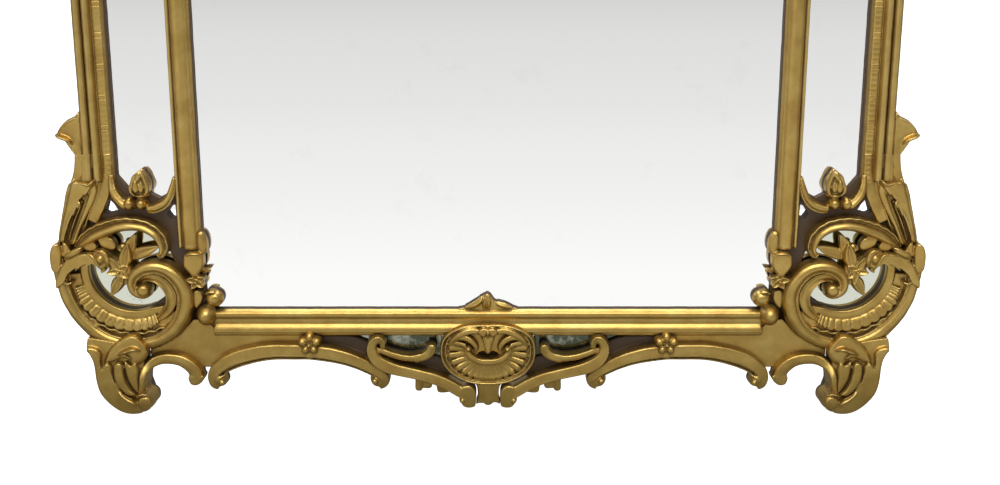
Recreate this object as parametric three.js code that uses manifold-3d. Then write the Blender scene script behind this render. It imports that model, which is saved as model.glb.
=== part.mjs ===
// A giltwood mirror with a large middle plate, a narrow margin plate at each side, and a pierced,
// carved apron on two scroll feet. All sizes are in millimetres.
//
// Shapes are drawn in the front view as [u, z]: u is the distance from the middle of the mirror, and
// z is the height above the soles of the feet. A third number, the depth, is the distance in front of
// the wall. The right-hand pieces are drawn, and the left-hand ones are their mirror images.

import * as THREE from 'three';
import { mergeVertices } from 'three/addons/utils/BufferGeometryUtils.js';
import Module from 'manifold-3d';

const wasm = await Module();
wasm.setup();

// ---------------------------------------------------------------- driving sizes

const MAIN_SIGHT_WIDTH = 800;      // glass seen between the inner stiles
const INNER_STILE_WIDTH = 34;
const SIDE_SIGHT_WIDTH = 80;       // glass seen between an inner and an outer stile
const OUTER_STILE_WIDTH = 44;
const RAIL_HEIGHT = 41;            // bottom rail, from its lower edge to the glass
const SIGHT_BOTTOM = 156;          // lower edge of the middle glass, above the feet
const SIGHT_CROWN = 1560;          // highest point of the middle glass, above the feet
const CROWN_RADIUS = 900;          // radius of the arched top of the glass
const TOP_RAIL_WIDTH = 44;

const CLEAR = 0.3;                 // clearance between pieces that touch
const BATTEN_THICKNESS = 14;
const BATTEN_HEIGHT = 40;
const BOARD_THICKNESS = 9.5;
const PLATE_THICKNESS = 6;
const REBATE = 8;                  // how far the mouldings lap over the plates
const BLOCK_THICKNESS = 25.7;      // carved ground of the corners
const FOOT_BACK = 20;              // the feet stand this far clear of the wall

const RIB_PITCH = 30;              // swellings of the ribbed band
const RIB_WIDTH = 10.5;
const RIB_HEIGHT = 3;
const RING_OPENING_RADIUS = 59;    // round opening of the corner, with its own plate
const GADROON_COUNT = 9;

const WIRE_DIAMETER = 4;           // hanging ring
const RING_INNER_WIDTH = 26;
const RING_DROP = 24;
const STRAP_WIDTH = 16;
const STRAP_THICKNESS = 1.5;
const STRAP_LENGTH = 46;
const PIVOT_CLEAR = 0.25;
const HANGER_DROP = 130;           // ring axis below the foot of the arch

// ---------------------------------------------------------------- places that follow from them

const SIGHT_U = MAIN_SIGHT_WIDTH / 2;
const INNER_OUTER_U = SIGHT_U + INNER_STILE_WIDTH;
const SIDE_OUTER_U = INNER_OUTER_U + SIDE_SIGHT_WIDTH;
const FRAME_U = SIDE_OUTER_U + OUTER_STILE_WIDTH;
const RAIL_BOTTOM = SIGHT_BOTTOM - RAIL_HEIGHT;
const RAIL_END_U = SIGHT_U - 15;

const MEMBER_BACK = BATTEN_THICKNESS + CLEAR;
const PLATE_BACK = MEMBER_BACK + BOARD_THICKNESS + CLEAR;
const LIP = PLATE_BACK + PLATE_THICKNESS + CLEAR;      // the lips of the mouldings lie on the glass
const GROUND = MEMBER_BACK + BLOCK_THICKNESS;          // front of the corner blocks
const RELIEF = GROUND + CLEAR;                         // back of the carving laid on them

const CROWN_Z = SIGHT_CROWN - CROWN_RADIUS;            // centre of the arched top
const RAIL_OUTER_RADIUS = CROWN_RADIUS + TOP_RAIL_WIDTH;
const RING = [FRAME_U - 57, SIGHT_BOTTOM + 51];        // centre of the round opening
const STILE_FOOT_Z = RING[1] + 128;                    // where the outer stile meets the corner
const INNER_FOOT_Z = RING[1] + 31;                     // where the inner stile meets the corner
const ORIGIN_Z = RAIL_BOTTOM + 3 + BATTEN_HEIGHT / 2;  // middle of the base batten

const archZ = (u, radius) => CROWN_Z + Math.sqrt(radius * radius - u * u);

// ---------------------------------------------------------------- shape helpers

const shift = (points, [du, dz]) => points.map(([u, z]) => [u + du, z + dz]);

const arc = ([u, z], radius, from, to, steps) => Array.from({ length: steps + 1 }, (_, i) => {
  const angle = THREE.MathUtils.degToRad(from + (to - from) * i / steps);
  return [u + radius * Math.cos(angle), z + radius * Math.sin(angle)];
});

const smooth = (points, steps) => new THREE.SplineCurve(points.map(([u, z]) => new THREE.Vector2(u, z)))
  .getSpacedPoints(steps).map((point) => [point.x, point.y]);

function signedVolume(positions, triangles) {
  let volume = 0;
  const corners = [0, 1, 2].map(() => new THREE.Vector3());
  for (let i = 0; i < triangles.length; i += 3) {
    corners.forEach((corner, k) => corner.fromArray(positions, 3 * triangles[i + k]));
    volume += corners[0].dot(corners[1].cross(corners[2]));
  }
  return volume;
}

// An indexed geometry whose faces point out.
function body(positions, triangles) {
  const outward = signedVolume(positions, triangles) > 0;
  const index = outward ? triangles : triangles.slice().reverse();
  const geometry = new THREE.BufferGeometry();
  geometry.setAttribute('position', new THREE.Float32BufferAttribute(positions, 3));
  geometry.setIndex(index);
  return geometry;
}

// Joins rings of [u, depth, z] points into one body. The end rings are closed flat, by the triangles
// of their own outline, unless the rings run round on themselves.
function loft(rings, capTriangles, closed = false) {
  const around = rings[0].length;
  const positions = rings.flat().flatMap(([u, depth, z]) => [u, -depth, z]);
  const triangles = [];
  const spans = closed ? rings.length : rings.length - 1;
  for (let i = 0; i < spans; i += 1) {
    const here = i * around;
    const next = ((i + 1) % rings.length) * around;
    for (let k = 0; k < around; k += 1) {
      const turn = (k + 1) % around;
      triangles.push(here + k, next + k, next + turn, here + k, next + turn, here + turn);
    }
  }
  if (!closed) {
    const last = (rings.length - 1) * around;
    for (const [a, b, c] of capTriangles) triangles.push(c, a, b, last + a, last + c, last + b);
  }
  return body(positions, triangles);
}

const capOf = (outline) => {
  const contour = outline.map(([a, b]) => new THREE.Vector2(a, b));
  const triangles = THREE.ShapeUtils.triangulateShape(contour, []);
  return THREE.ShapeUtils.isClockWise(contour) ? triangles.map(([a, b, c]) => [a, c, b]) : triangles;
};

// Sweeps a section along a path in the front view. sectionAt(t) gives [across, depth] points, with
// across measured to the left of the direction of travel.
function sweep(path, sectionAt, closed = false) {
  const count = path.length;
  const rings = path.map(([u, z], i) => {
    const before = path[closed ? (i + count - 1) % count : Math.max(i - 1, 0)];
    const after = path[closed ? (i + 1) % count : Math.min(i + 1, count - 1)];
    const length = Math.hypot(after[0] - before[0], after[1] - before[1]);
    const normal = [-(after[1] - before[1]) / length, (after[0] - before[0]) / length];
    const section = sectionAt(closed ? i / count : i / (count - 1));
    return section.map(([across, depth]) => [u + normal[0] * across, depth, z + normal[1] * across]);
  });
  return loft(rings, capOf(sectionAt(0.5)), closed);
}

// Carved sections: [across, height], both as shares of the width and of the relief.
const ROLL = [[-1, 0.35], [-0.5, 0.97], [0.15, 0.9], [1, 0.4]];
const RIDGE = [[-1, 0.3], [0, 1], [1, 0.3]];
const FOLD = [[-0.65, 0.85], [0, 0.5], [0.65, 0.85]];

const valueAt = (value, t) => (typeof value === 'function' ? value(t) : value);

// A carved strip with a flat back. left and right are its half widths; grow makes it larger all round.
function carve(path, { left, right = left, back, front, section = RIDGE, grow = 0 }) {
  return sweep(path, (t) => {
    const reach = { [-1]: valueAt(right, t) + grow, [1]: valueAt(left, t) + grow };
    const top = valueAt(front, t) + grow - back;
    const face = section.map(([across, height]) => [across * reach[across < 0 ? -1 : 1], back + top * height]);
    return [[-reach[-1], back], ...face, [reach[1], back]];
  });
}

const taper = (start, middle, end) => (t) => {
  const swell = Math.sin(Math.PI * t);
  return start * (1 - t) * (1 - swell) + end * t * (1 - swell) + middle * swell;
};

// A carved form seen from the front, built of rings round its middle. steps are [share of the
// radius, depth]; radiusAt(angle) and lift(angle, share) give its outline and its ribs.
function mound([u, z], radiusAt, steps, segments, lift = () => 0) {
  const rings = steps.map(([share, depth]) => Array.from({ length: segments }, (_, i) => {
    const angle = (2 * Math.PI * i) / segments;
    const radius = share * valueAt(radiusAt, angle);
    return [u + radius * Math.cos(angle), depth + lift(angle, share), z + radius * Math.sin(angle)];
  }));
  const cap = capOf(rings[0].map(([ringU, , ringZ]) => [ringU, ringZ]));
  return loft(rings, cap);
}

const dome = (centre, radius, back, front, segments = 8) => {
  const steps = [[1, back], [0.97, back + (front - back) * 0.6], [0.45, front]];
  return mound(centre, radius, steps, segments);
};

// A flat piece cut from board or glass, with an optional rounded front edge.
function slab(outline, back, front, { round = 0, holes = [] } = {}) {
  const shape = new THREE.Shape(outline.map(([u, z]) => new THREE.Vector2(u, z)));
  for (const hole of holes) shape.holes.push(new THREE.Path(hole.map(([u, z]) => new THREE.Vector2(u, z))));
  const flat = new THREE.ExtrudeGeometry(shape, { depth: front - back - round, bevelEnabled: false });
  flat.rotateX(Math.PI / 2);
  flat.translate(0, -back, 0);
  const plain = welded(flat);
  if (!round) return plain;
  const crown = new THREE.ExtrudeGeometry(shape, {
    depth: 0.01, bevelThickness: round, bevelSize: round, bevelOffset: -round, bevelSegments: 1,
  });
  crown.rotateX(Math.PI / 2);
  crown.translate(0, -(front - round), 0);
  return join(plain, welded(crown));
}

const box = (from, to) => {
  const size = to.map((value, i) => value - from[i]);
  const geometry = new THREE.BoxGeometry(...size);
  geometry.translate(...from.map((value, i) => value + size[i] / 2));
  return welded(geometry);
};

function welded(geometry) {
  const plain = geometry.clone();
  plain.deleteAttribute('normal');
  plain.deleteAttribute('uv');
  return mergeVertices(plain, 1e-4);
}

function asManifold(geometry) {
  const vertProperties = Float32Array.from(geometry.attributes.position.array);
  const triVerts = Uint32Array.from(geometry.index.array);
  return new wasm.Manifold(new wasm.Mesh({ numProp: 3, vertProperties, triVerts }));
}

function asGeometry(manifold) {
  const mesh = manifold.getMesh();
  const geometry = new THREE.BufferGeometry();
  geometry.setAttribute('position', new THREE.Float32BufferAttribute(mesh.vertProperties, 3));
  geometry.setIndex(Array.from(mesh.triVerts));
  return geometry;
}

function join(...geometries) {
  return asGeometry(geometries.map(asManifold).reduce((whole, next) => whole.add(next)));
}

function cut(geometry, ...tools) {
  return asGeometry(tools.map(asManifold).reduce((rest, tool) => rest.subtract(tool), asManifold(geometry)));
}

function mirrored(geometry) {
  const copy = geometry.clone();
  copy.scale(-1, 1, 1);
  copy.setIndex(Array.from(copy.index.array).reverse());
  return copy;
}

// ---------------------------------------------------------------- mouldings

// Sections run from the sight edge outwards, as [across, depth]. Each laps over the glass by REBATE.
const moulding = (face, width, outerRebate) => {
  const stem = outerRebate ? [[width, LIP], [width - REBATE, LIP], [width - REBATE, MEMBER_BACK]]
    : [[width, MEMBER_BACK]];
  return [[REBATE, MEMBER_BACK], [REBATE, LIP], [0, LIP], ...face, ...stem];
};

const halfRound = (from, to, low, high, steps = 6) => Array.from({ length: steps + 1 }, (_, i) => {
  const share = i / steps;
  return [from + (to - from) * share, low + (high - low) * Math.sin(Math.PI * share)];
});

const INNER_FACE = [[0, 35], [4, 38], ...halfRound(4.5, INNER_STILE_WIDTH - 6.5, 42, 52),
  [INNER_STILE_WIDTH - 6, 41], [INNER_STILE_WIDTH - 4, 44], [INNER_STILE_WIDTH - 1, 43],
  [INNER_STILE_WIDTH, 39]];

const BAND_DEPTH = 41;
const OUTER_FACE = [[0, 34], [5, 37], [6, BAND_DEPTH], [17.5, BAND_DEPTH], [18.5, 39],
  ...halfRound(19, 30.5, 45, 52, 4), [31, 41], ...halfRound(31.5, OUTER_STILE_WIDTH - 0.5, 44, 50, 4),
  [OUTER_STILE_WIDTH, 40]];

const RAIL_FACE = [[0, 35], [5, 37], [6.5, 43], [9.5, 46], [12.5, 43], [13.5, 40], [17, 39.5], [21, 43],
  [22, 46], [28.5, 47], [35, 46], [35.5, 41.5], [37, 42], [40, 41], [RAIL_HEIGHT, 38]];
const RAIL_FRONT = 47;

const straight = (from, to, section) => sweep([from, to], () => section);

const CROWN_SPREAD = THREE.MathUtils.radToDeg(Math.asin((FRAME_U + 60) / CROWN_RADIUS));
const CROWN_PATH = arc([0, CROWN_Z], CROWN_RADIUS, 90 - CROWN_SPREAD, 90 + CROWN_SPREAD, 13);

// An arched band that follows the top rail, from one distance above the sight edge to another.
const crownBand = (from, to) => sweep(CROWN_PATH, () => [[-from, 0], [-from, 53], [-to, 53], [-to, 0]]);

// The space that the top rail fills, a little larger: it trims what meets the rail.
const topRailSpace = () => crownBand(-CLEAR, TOP_RAIL_WIDTH + CLEAR);

function topRail() {
  const section = moulding(OUTER_FACE, TOP_RAIL_WIDTH, false);
  const rail = sweep(CROWN_PATH, () => section.map(([across, depth]) => [-across, depth]));
  const ends = box([FRAME_U, -100, 0], [FRAME_U + 200, 0, SIGHT_CROWN + TOP_RAIL_WIDTH]);
  return cut(rail, ends, mirrored(ends));
}

function bottomRail() {
  const section = moulding(RAIL_FACE, RAIL_HEIGHT, false);
  const down = section.map(([across, depth]) => [-across, depth]);
  return straight([-RAIL_END_U + CLEAR, SIGHT_BOTTOM], [RAIL_END_U - CLEAR, SIGHT_BOTTOM], down);
}

// The stiles run up past the arch and are scribed to its lower edge.
function stile(sightU, footZ, section) {
  const top = archZ(sightU, CROWN_RADIUS) + 10;
  const mirroredSection = section.map(([across, depth]) => [-across, depth]);
  return cut(straight([sightU, footZ], [sightU, top], mirroredSection), topRailSpace());
}

const innerStile = () => stile(SIGHT_U, INNER_FOOT_Z + CLEAR, moulding(INNER_FACE, INNER_STILE_WIDTH, true));

// The ribbed band: a row of small swellings, as one strip that is let into the outer stile.
function ribbedBand(fromZ, toZ) {
  const pairs = Math.floor((toZ - fromZ) / RIB_PITCH);
  const sunk = BAND_DEPTH - 2;
  const wave = [];
  for (let i = 0; i < pairs; i += 1) {
    const z = fromZ + i * RIB_PITCH;
    wave.push([z, BAND_DEPTH + 0.4], [z + RIB_PITCH / 2, BAND_DEPTH + RIB_HEIGHT]);
  }
  const end = fromZ + pairs * RIB_PITCH;
  const side = [[fromZ, sunk], ...wave, [end, BAND_DEPTH + 0.4], [end, sunk]];
  const from = SIDE_OUTER_U + 6.5;
  const rings = [from, from + RIB_WIDTH].map((u) => side.map(([z, depth]) => [u, depth, z]));
  return loft(rings, capOf(side));
}

function outerStile() {
  const section = moulding(OUTER_FACE, OUTER_STILE_WIDTH, false);
  const plain = stile(SIDE_OUTER_U, STILE_FOOT_Z + CLEAR, section);
  const top = archZ(FRAME_U, CROWN_RADIUS) - 3;
  return join(plain, ribbedBand(STILE_FOOT_Z + 6, top));
}

// ---------------------------------------------------------------- glass and boards

const EDGE = REBATE - CLEAR;

// A panel with straight sides and a foot, whose top lies under the lip of the arched rail.
function archedPanel(fromU, toU, footZ, back, front) {
  const top = archZ(Math.min(Math.abs(fromU), Math.abs(toU)) * (fromU < 0 ? 0 : 1), CROWN_RADIUS) + EDGE + 2;
  const panel = slab([[fromU, footZ], [toU, footZ], [toU, top], [fromU, top]], back, front);
  return cut(panel, crownBand(EDGE, 150));
}

const MAIN_HALF = SIGHT_U + EDGE;
const MAIN_FOOT = SIGHT_BOTTOM - EDGE;
const SIDE_FOOT = RING[1] + 83;
const SIDE_FROM = INNER_OUTER_U - EDGE;
const SIDE_TO = SIDE_OUTER_U + EDGE;

const mainPlate = () => archedPanel(-MAIN_HALF, MAIN_HALF, MAIN_FOOT, PLATE_BACK, PLATE_BACK + PLATE_THICKNESS);
const sidePlate = () => archedPanel(SIDE_FROM, SIDE_TO, SIDE_FOOT, PLATE_BACK, PLATE_BACK + PLATE_THICKNESS);
const mainBoard = () => archedPanel(-MAIN_HALF, MAIN_HALF, MAIN_FOOT, MEMBER_BACK, MEMBER_BACK + BOARD_THICKNESS);
const sideBoard = () => archedPanel(SIDE_FROM, SIDE_TO, SIDE_FOOT, MEMBER_BACK, MEMBER_BACK + BOARD_THICKNESS);

const cornerPlate = () => slab(arc(RING, RING_OPENING_RADIUS + EDGE, 0, 345, 23),
  PLATE_BACK, PLATE_BACK + PLATE_THICKNESS);

// ---------------------------------------------------------------- corner: block, ring and scrolls

const onRing = (points) => shift(points, RING);

// The lower edge of the corner block, from the bottom rail outwards: the apron panel meets it there.
const UNDERSIDE = onRing([[-73, -92], [-65, -99], [-55, -107], [-45, -112], [-14, -117]]);

function cornerBlock() {
  const outside = onRing([[29, -119], [55, -119], [62, -111], [62, -99], [73, -87], [80, -77], [88, -64],
    [95, -49], [100, -27], [103, -9], [105, 8], [103, 21], [99, 31], [93, 43], [87, 58], [81, 78],
    [74, 98], [69, 115], [65, 128]]);
  const outline = [[RAIL_END_U, RAIL_BOTTOM], ...UNDERSIDE, ...outside, [SIDE_OUTER_U, STILE_FOOT_Z],
    ...onRing([[11, 111], [16, 99], [10, 87], [-20, 82]]), [INNER_OUTER_U, RING[1] + 82],
    [INNER_OUTER_U, INNER_FOOT_Z], [SIGHT_U, INNER_FOOT_Z], [SIGHT_U, SIGHT_BOTTOM],
    [RAIL_END_U, SIGHT_BOTTOM]];
  const opening = arc(RING, RING_OPENING_RADIUS, 0, 345, 23);
  const block = slab(outline, MEMBER_BACK, GROUND, { holes: [opening] });
  const mainRebate = box([0, -LIP, SIGHT_BOTTOM - REBATE], [SIGHT_U + REBATE, 0, INNER_FOOT_Z + 10]);
  const sideRebate = box([SIDE_FROM - CLEAR, -LIP, SIDE_FOOT - CLEAR], [SIDE_TO + CLEAR, 0, STILE_FOOT_Z + 10]);
  const ringRebate = slab(arc(RING, RING_OPENING_RADIUS + REBATE, 0, 345, 23), 0, LIP);
  return cut(block, mainRebate, sideRebate, ringRebate);
}

// The gadrooned band under the opening: a cove, a row of ribs, a fillet and an outer roll.
function gadroonBand(grow = 0) {
  const from = -6;
  const to = -131;
  const stations = GADROON_COUNT * 2;
  const path = arc(RING, RING_OPENING_RADIUS, from, to, stations);
  const rise = (base, rib, i) => base + grow + (i % 2 ? rib : 0);
  return sweep(path, (t) => {
    const i = Math.round(t * stations);
    const end = Math.max(0, (t - 0.75) / 0.25);
    const outer = 53 - 12 * end + grow;
    return [[0, RELIEF], [0, 42 + grow], [14, rise(45, 2, i)], [26, rise(46, 3.5, i)], [34, 47.5 + grow],
      [37, 43 + grow], [46, 54 - 10 * end + grow], [outer, 48 - 5 * end + grow], [outer, RELIEF]];
  });
}

const SCROLL_PATH = onRing([[-39, -106], [-51, -94], [-61, -83], [-70, -69], [-74, -55], [-74, -40],
  [-71, -26], [-64, -14], [-54, -5], [-43, 1], [-32, 4], [-20, 3], [-11, -2], [-5, -11], [-4, -22],
  [-8, -31], [-16, -35], [-24, -34]]);

const scrollStrip = (grow = 0) => carve(smooth(SCROLL_PATH, 16), {
  left: (t) => 9 - 4.5 * Math.max(0, t - 0.55) / 0.45,
  back: RELIEF,
  front: (t) => 58 - 3 * t,
  section: ROLL,
  grow,
});

const SCROLL_EYE = onRing([[-16, -24]])[0];

const cornerScroll = () => join(gadroonBand(), scrollStrip(), dome(SCROLL_EYE, 9.5, RELIEF, 57));

// The crook over the opening has a scalloped outer rim and curls in beside the inner stile.
const CROOK_PATH = onRing([[80, 18], [70, 36], [55, 51], [38, 62], [20, 68], [2, 69.5], [-16, 68.5],
  [-31, 63], [-42, 54], [-48, 43], [-50, 31]]);

const CROOK_SCALLOPS = 8;

const crookStrip = (grow = 0) => carve(smooth(CROOK_PATH, 14), {
  left: (t) => 8 - 2 * t,
  right: (t) => 7 + 1.8 * Math.abs(Math.cos(CROOK_SCALLOPS * Math.PI * t)) + 1.5 * Math.sin(Math.PI * t),
  back: RELIEF,
  front: (t) => 50 + 6 * t,
  section: ROLL,
  grow,
});

function crook() {
  const eye = dome(onRing([[-48, 27]])[0], 7.5, RELIEF, 57);
  return cut(join(crookStrip(), eye), scrollStrip(CLEAR));
}

// An acanthus leaf runs down the outer edge, and a second one folds in over the gadroons.
const lobed = (width, lobes) => (t) => {
  const swell = Math.sin(Math.PI * Math.min(1, 0.06 + 0.94 * t)) ** 0.7;
  return 1.2 + width * swell * (0.82 + 0.18 * Math.cos(2 * Math.PI * lobes * t));
};

function cornerLeaf() {
  const outerEdge = onRing([[66, 150], [69, 128], [74, 104], [82, 78], [91, 52], [98, 32]]);
  const folded = onRing([[103, 12], [92, 20], [76, 25], [58, 24], [42, 15]]);
  const long = carve(smooth(outerEdge, 8), {
    left: lobed(10, 3), right: lobed(7, 3), back: RELIEF, front: 52, section: FOLD,
  });
  const short = carve(smooth(folded, 6), {
    left: lobed(12, 2), right: lobed(9, 2), back: RELIEF, front: 60, section: FOLD,
  });
  const link = dome(onRing([[98, 24]])[0], 9, RELIEF, 58);
  const standing = box([FRAME_U - 40, -60, STILE_FOOT_Z], [FRAME_U + CLEAR, 0, STILE_FOOT_Z + 60]);
  return cut(join(long, short, link), standing, gadroonBand(CLEAR), crookStrip(CLEAR));
}

// The spray that hangs in the opening: a rosebud, a star flower and two leaves on one stem.
const SPRAY_BACK = 50;

const petals = (radius, count, deep, turn = 0) => (angle) => {
  const wave = Math.abs(Math.cos((count * (angle - turn)) / 2));
  return radius * (1 - deep + deep * wave);
};

function flower(centre, radius, count, back, front, segments = count * 2, deep = 0.35) {
  const rise = front - back;
  const steps = [[1, back], [0.8, back + rise * 0.7], [0.34, back + rise * 0.55], [0.2, front]];
  return mound(centre, petals(radius, count, deep), steps, segments);
}

function cornerSpray() {
  const stem = carve(smooth(onRing([[2, -14], [8, 0], [18, 14], [30, 26]]), 6), {
    left: 3.2, back: SPRAY_BACK, front: 65,
  });
  const bud = mound(onRing([[29, 33]])[0], petals(13, 3, 0.15, 2), [[1, SPRAY_BACK], [0.95, 60], [0.6, 67],
    [0.15, 64]], 9);
  const star = flower(onRing([[9, 1]])[0], 16, 5, SPRAY_BACK, 70, 10, 0.55);
  const upper = carve(smooth(onRing([[6, 6], [-2, 24], [-7, 38], [-12, 52]]), 6), {
    left: lobed(7, 1), back: SPRAY_BACK, front: 64, section: FOLD,
  });
  const lower = carve(smooth(onRing([[12, -4], [20, -18], [28, -35]]), 5), {
    left: lobed(7, 1), back: SPRAY_BACK, front: 64, section: FOLD,
  });
  const eyeSpace = dome(SCROLL_EYE, 9.5 + CLEAR, RELIEF, 57 + CLEAR);
  return cut(join(stem, bud, star, upper, lower), scrollStrip(CLEAR), crookStrip(CLEAR), eyeSpace);
}

// A rosebud stands on two small scrolls at the foot of the margin plate.
function bud() {
  const outer = carve(smooth(onRing([[15, 120], [9, 108], [2, 98], [-6, 94]]), 5), {
    left: 5, back: RELIEF, front: 51,
  });
  const innerStart = [INNER_OUTER_U + 6, RING[1] + 114];
  const inner = carve(smooth([innerStart, ...onRing([[-56, 94], [-41, 85], [-26, 84], [-19, 92]])], 8), {
    left: 5.5, back: RELIEF, front: 52,
  });
  const outline = (angle) => 15 * (1 + 0.42 * Math.max(0, Math.sin(angle)) ** 3);
  const flowerBud = mound(onRing([[-24, 123]])[0], outline, [[1, RELIEF], [0.95, 46], [0.6, 54], [0.15, 51]], 10);
  const calyx = carve(onRing([[-12, 90], [-16, 102], [-22, 114]]), { left: 5, back: RELIEF, front: 50 });
  const eyes = [[-3, 95], [-21, 95]].map((place) => dome(onRing([place])[0], 7, RELIEF, 53));
  const core = dome(onRing([[-12, 92]])[0], 8, RELIEF, 50);
  return join(outer, inner, flowerBud, calyx, ...eyes, core);
}

// Beads, a flower and leaves drop over the joint between the inner stile and the bottom rail.
function beadDrop() {
  const at = ([du, dz]) => [SIGHT_U + du, SIGHT_BOTTOM + dz];
  const boss = mound(at([11, 65]), (angle) => 12 + 4.5 * Math.abs(Math.sin(angle)) ** 2,
    [[1, RELIEF], [0.95, 50], [0.4, 56]], 8);
  const lobe = carve([at([-5, 102]), at([-8, 90]), at([-6, 74]), at([2, 60])], {
    left: taper(3, 6.5, 4), back: RELIEF, front: 50,
  });
  const small = flower(at([6, 40]), 10.5, 5, RELIEF, 52, 10);
  const leaf = carve([at([9, 48]), at([10, 22]), at([1, -6])], {
    left: taper(4, 8, 5), back: RELIEF, front: 49, section: FOLD,
  });
  const berry = dome(at([-12, 11]), 12.5, RELIEF, 54);
  const foot = dome(at([-1, -14]), 14.5, RELIEF + 8, 60);
  const seat = dome(at([3, -13]), 10, RELIEF, RELIEF + 12);
  const railSpace = box([0, -RAIL_FRONT - CLEAR, RAIL_BOTTOM - 20], [RAIL_END_U, 0, SIGHT_BOTTOM + CLEAR]);
  const stileSpace = box([SIGHT_U - CLEAR, -60, INNER_FOOT_Z], [INNER_OUTER_U + CLEAR, 0, INNER_FOOT_Z + 40]);
  return cut(join(boss, lobe, small, leaf, berry, foot, seat), railSpace, stileSpace, scrollStrip(CLEAR));
}

// ---------------------------------------------------------------- feet

function foot() {
  const outer = [[64, -119.5], [62, -129], [56, -143], [54, -154], [51, -170],
    [46, -180], [39, -189], [29, -200], [17, -208.5]];
  const inner = [[4, -211], [-9, -210.5], [-16, -204], [-19, -198], [-20, -189], [-23, -180], [-26, -172],
    [-28, -160], [-27, -150], [-22, -130], [-14, -119.5]];
  const leg = slab(onRing([...outer, ...inner]), FOOT_BACK, 60, { round: 4 });
  const flute = (points, width, front) => carve(smooth(onRing(points), 6), {
    left: width, back: 55, front, section: ROLL,
  });
  const outside = flute([[50, -126], [42, -142], [41, -158], [35, -174], [24, -188], [10, -194]], taper(8, 11, 8), 76);
  const inside = flute([[10, -124], [4, -140], [-6, -156], [-9, -170], [-6, -182]], taper(10, 13, 9), 72);
  const toe = dome(onRing([[-2, -190]])[0], 14, 55, 80);
  const knee = carve(smooth(onRing([[57, -118], [40, -108], [18, -110], [-8, -116]]), 7), {
    left: taper(5, 16, 6), back: RELIEF, front: 66, section: RIDGE,
  });
  const bandSpace = gadroonBand(CLEAR);
  const stand = box([0, -200, -50], [FRAME_U + 200, 10, 0]);
  return cut(join(leg, outside, inside, toe, knee), bandSpace, scrollStrip(CLEAR), stand);
}

// ---------------------------------------------------------------- apron

const APRON_BACK = 26;
const APRON_GROUND = 38;
const APRON_RELIEF = APRON_GROUND + CLEAR;
const ARCH_OUTER_U = SIGHT_U - 14;     // outer curl of the long arch
const ARCH_INNER_U = 156;              // its inner curl, beside the S-scroll
const ARCH_TOP = RAIL_BOTTOM - 26;     // middle line of the arch at its highest
const ARCH_CURL_Z = RAIL_BOTTOM - 68;

// The long arch: a flat-topped arch whose ends curl inwards.
function archPath() {
  const middle = (ARCH_OUTER_U + ARCH_INNER_U) / 2;
  const half = (ARCH_OUTER_U - ARCH_INNER_U) / 2;
  const rise = ARCH_TOP - ARCH_CURL_Z;
  const bow = Array.from({ length: 13 }, (_, i) => {
    const share = Math.cos((Math.PI * (i + 0.4)) / 12.8);
    return [middle + half * share, ARCH_CURL_Z + 4 + (rise - 4) * (1 - Math.abs(share) ** 2.6) ** 0.62];
  });
  const outerCurl = arc([ARCH_OUTER_U - 3, ARCH_CURL_Z - 1], 8, 200, 380, 4);
  const innerCurl = arc([ARCH_INNER_U + 3, ARCH_CURL_Z - 1], 8, 160, 340, 4);
  return [...outerCurl, ...bow.slice(1, -1), ...innerCurl];
}

const apronArch = (grow = 0) => carve(smooth(archPath(), 24), {
  left: (t) => 4.5 + 4 * Math.sin(Math.PI * t) ** 0.5,
  right: (t) => 4.5 + 6 * Math.sin(Math.PI * t) ** 0.5,
  back: APRON_RELIEF - grow,
  front: (t) => 50 + 5 * Math.sin(Math.PI * t),
  section: RIDGE,
  grow,
});

// The short arch between the long one and the foot.
const shortArchPath = () => smooth([[SIGHT_U + 12, RAIL_BOTTOM - 69], [SIGHT_U + 19, RAIL_BOTTOM - 60],
  [SIGHT_U + 26, RAIL_BOTTOM - 44], [SIGHT_U + 38, RAIL_BOTTOM - 35], [SIGHT_U + 54, RAIL_BOTTOM - 32],
  [SIGHT_U + 68, RAIL_BOTTOM - 36], [SIGHT_U + 80, RAIL_BOTTOM - 46]], 14);

function footArch() {
  const strip = carve(shortArchPath(), { left: taper(5, 9, 8), back: APRON_RELIEF, front: 53 });
  const curl = dome([SIGHT_U + 14, RAIL_BOTTOM - 67], 8, APRON_RELIEF, 54);
  const footSide = box([RING[0] - 25.5, -70, 0], [RING[0] + 60, 0, RAIL_BOTTOM - 27]);
  const heel = box([RING[0] - 29, -70, 0], [RING[0] + 60, 0, RAIL_BOTTOM - 55]);
  return cut(join(strip, curl), footSide, heel, apronArch(CLEAR), scrollStrip(CLEAR));
}

// The plain panel behind the arches, between the bottom rail and the corner.
function spandrel() {
  const top = RAIL_BOTTOM - CLEAR;
  const under = shift(UNDERSIDE, [-0.4, -0.4]).slice(0, 4);
  const short = shortArchPath().slice(3, 12).reverse();
  const middle = (ARCH_OUTER_U + ARCH_INNER_U) / 2;
  const long = archPath().slice(4, 10).filter(([u]) => u > middle);
  return slab([[middle, top], [under[0][0], top], ...under, ...short, ...long, [middle, ARCH_TOP]],
    APRON_BACK, APRON_GROUND);
}

const archRosette = () => {
  const centre = [(ARCH_OUTER_U + ARCH_INNER_U) / 2 - 18, RAIL_BOTTOM - 12];
  const head = flower(centre, 16, 5, APRON_RELIEF, 64, 15);
  const railSpace = box([0, -RAIL_FRONT - CLEAR, RAIL_BOTTOM - CLEAR], [SIGHT_U, 0, SIGHT_BOTTOM]);
  return cut(head, apronArch(CLEAR), railSpace);
};

// The S-scroll swings from under the rail to the foot of the shell, with a small C-scroll above it
// and a leaf sprig below.
const S_PATH = [[152, 104], [155, 108], [161, 106], [165, 96], [164, 86], [156, 78], [144, 72.5],
  [128, 66.5], [110, 61.5], [90, 55.5], [72, 49.5], [56, 43], [44, 36], [35, 28], [30, 19]];

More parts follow.
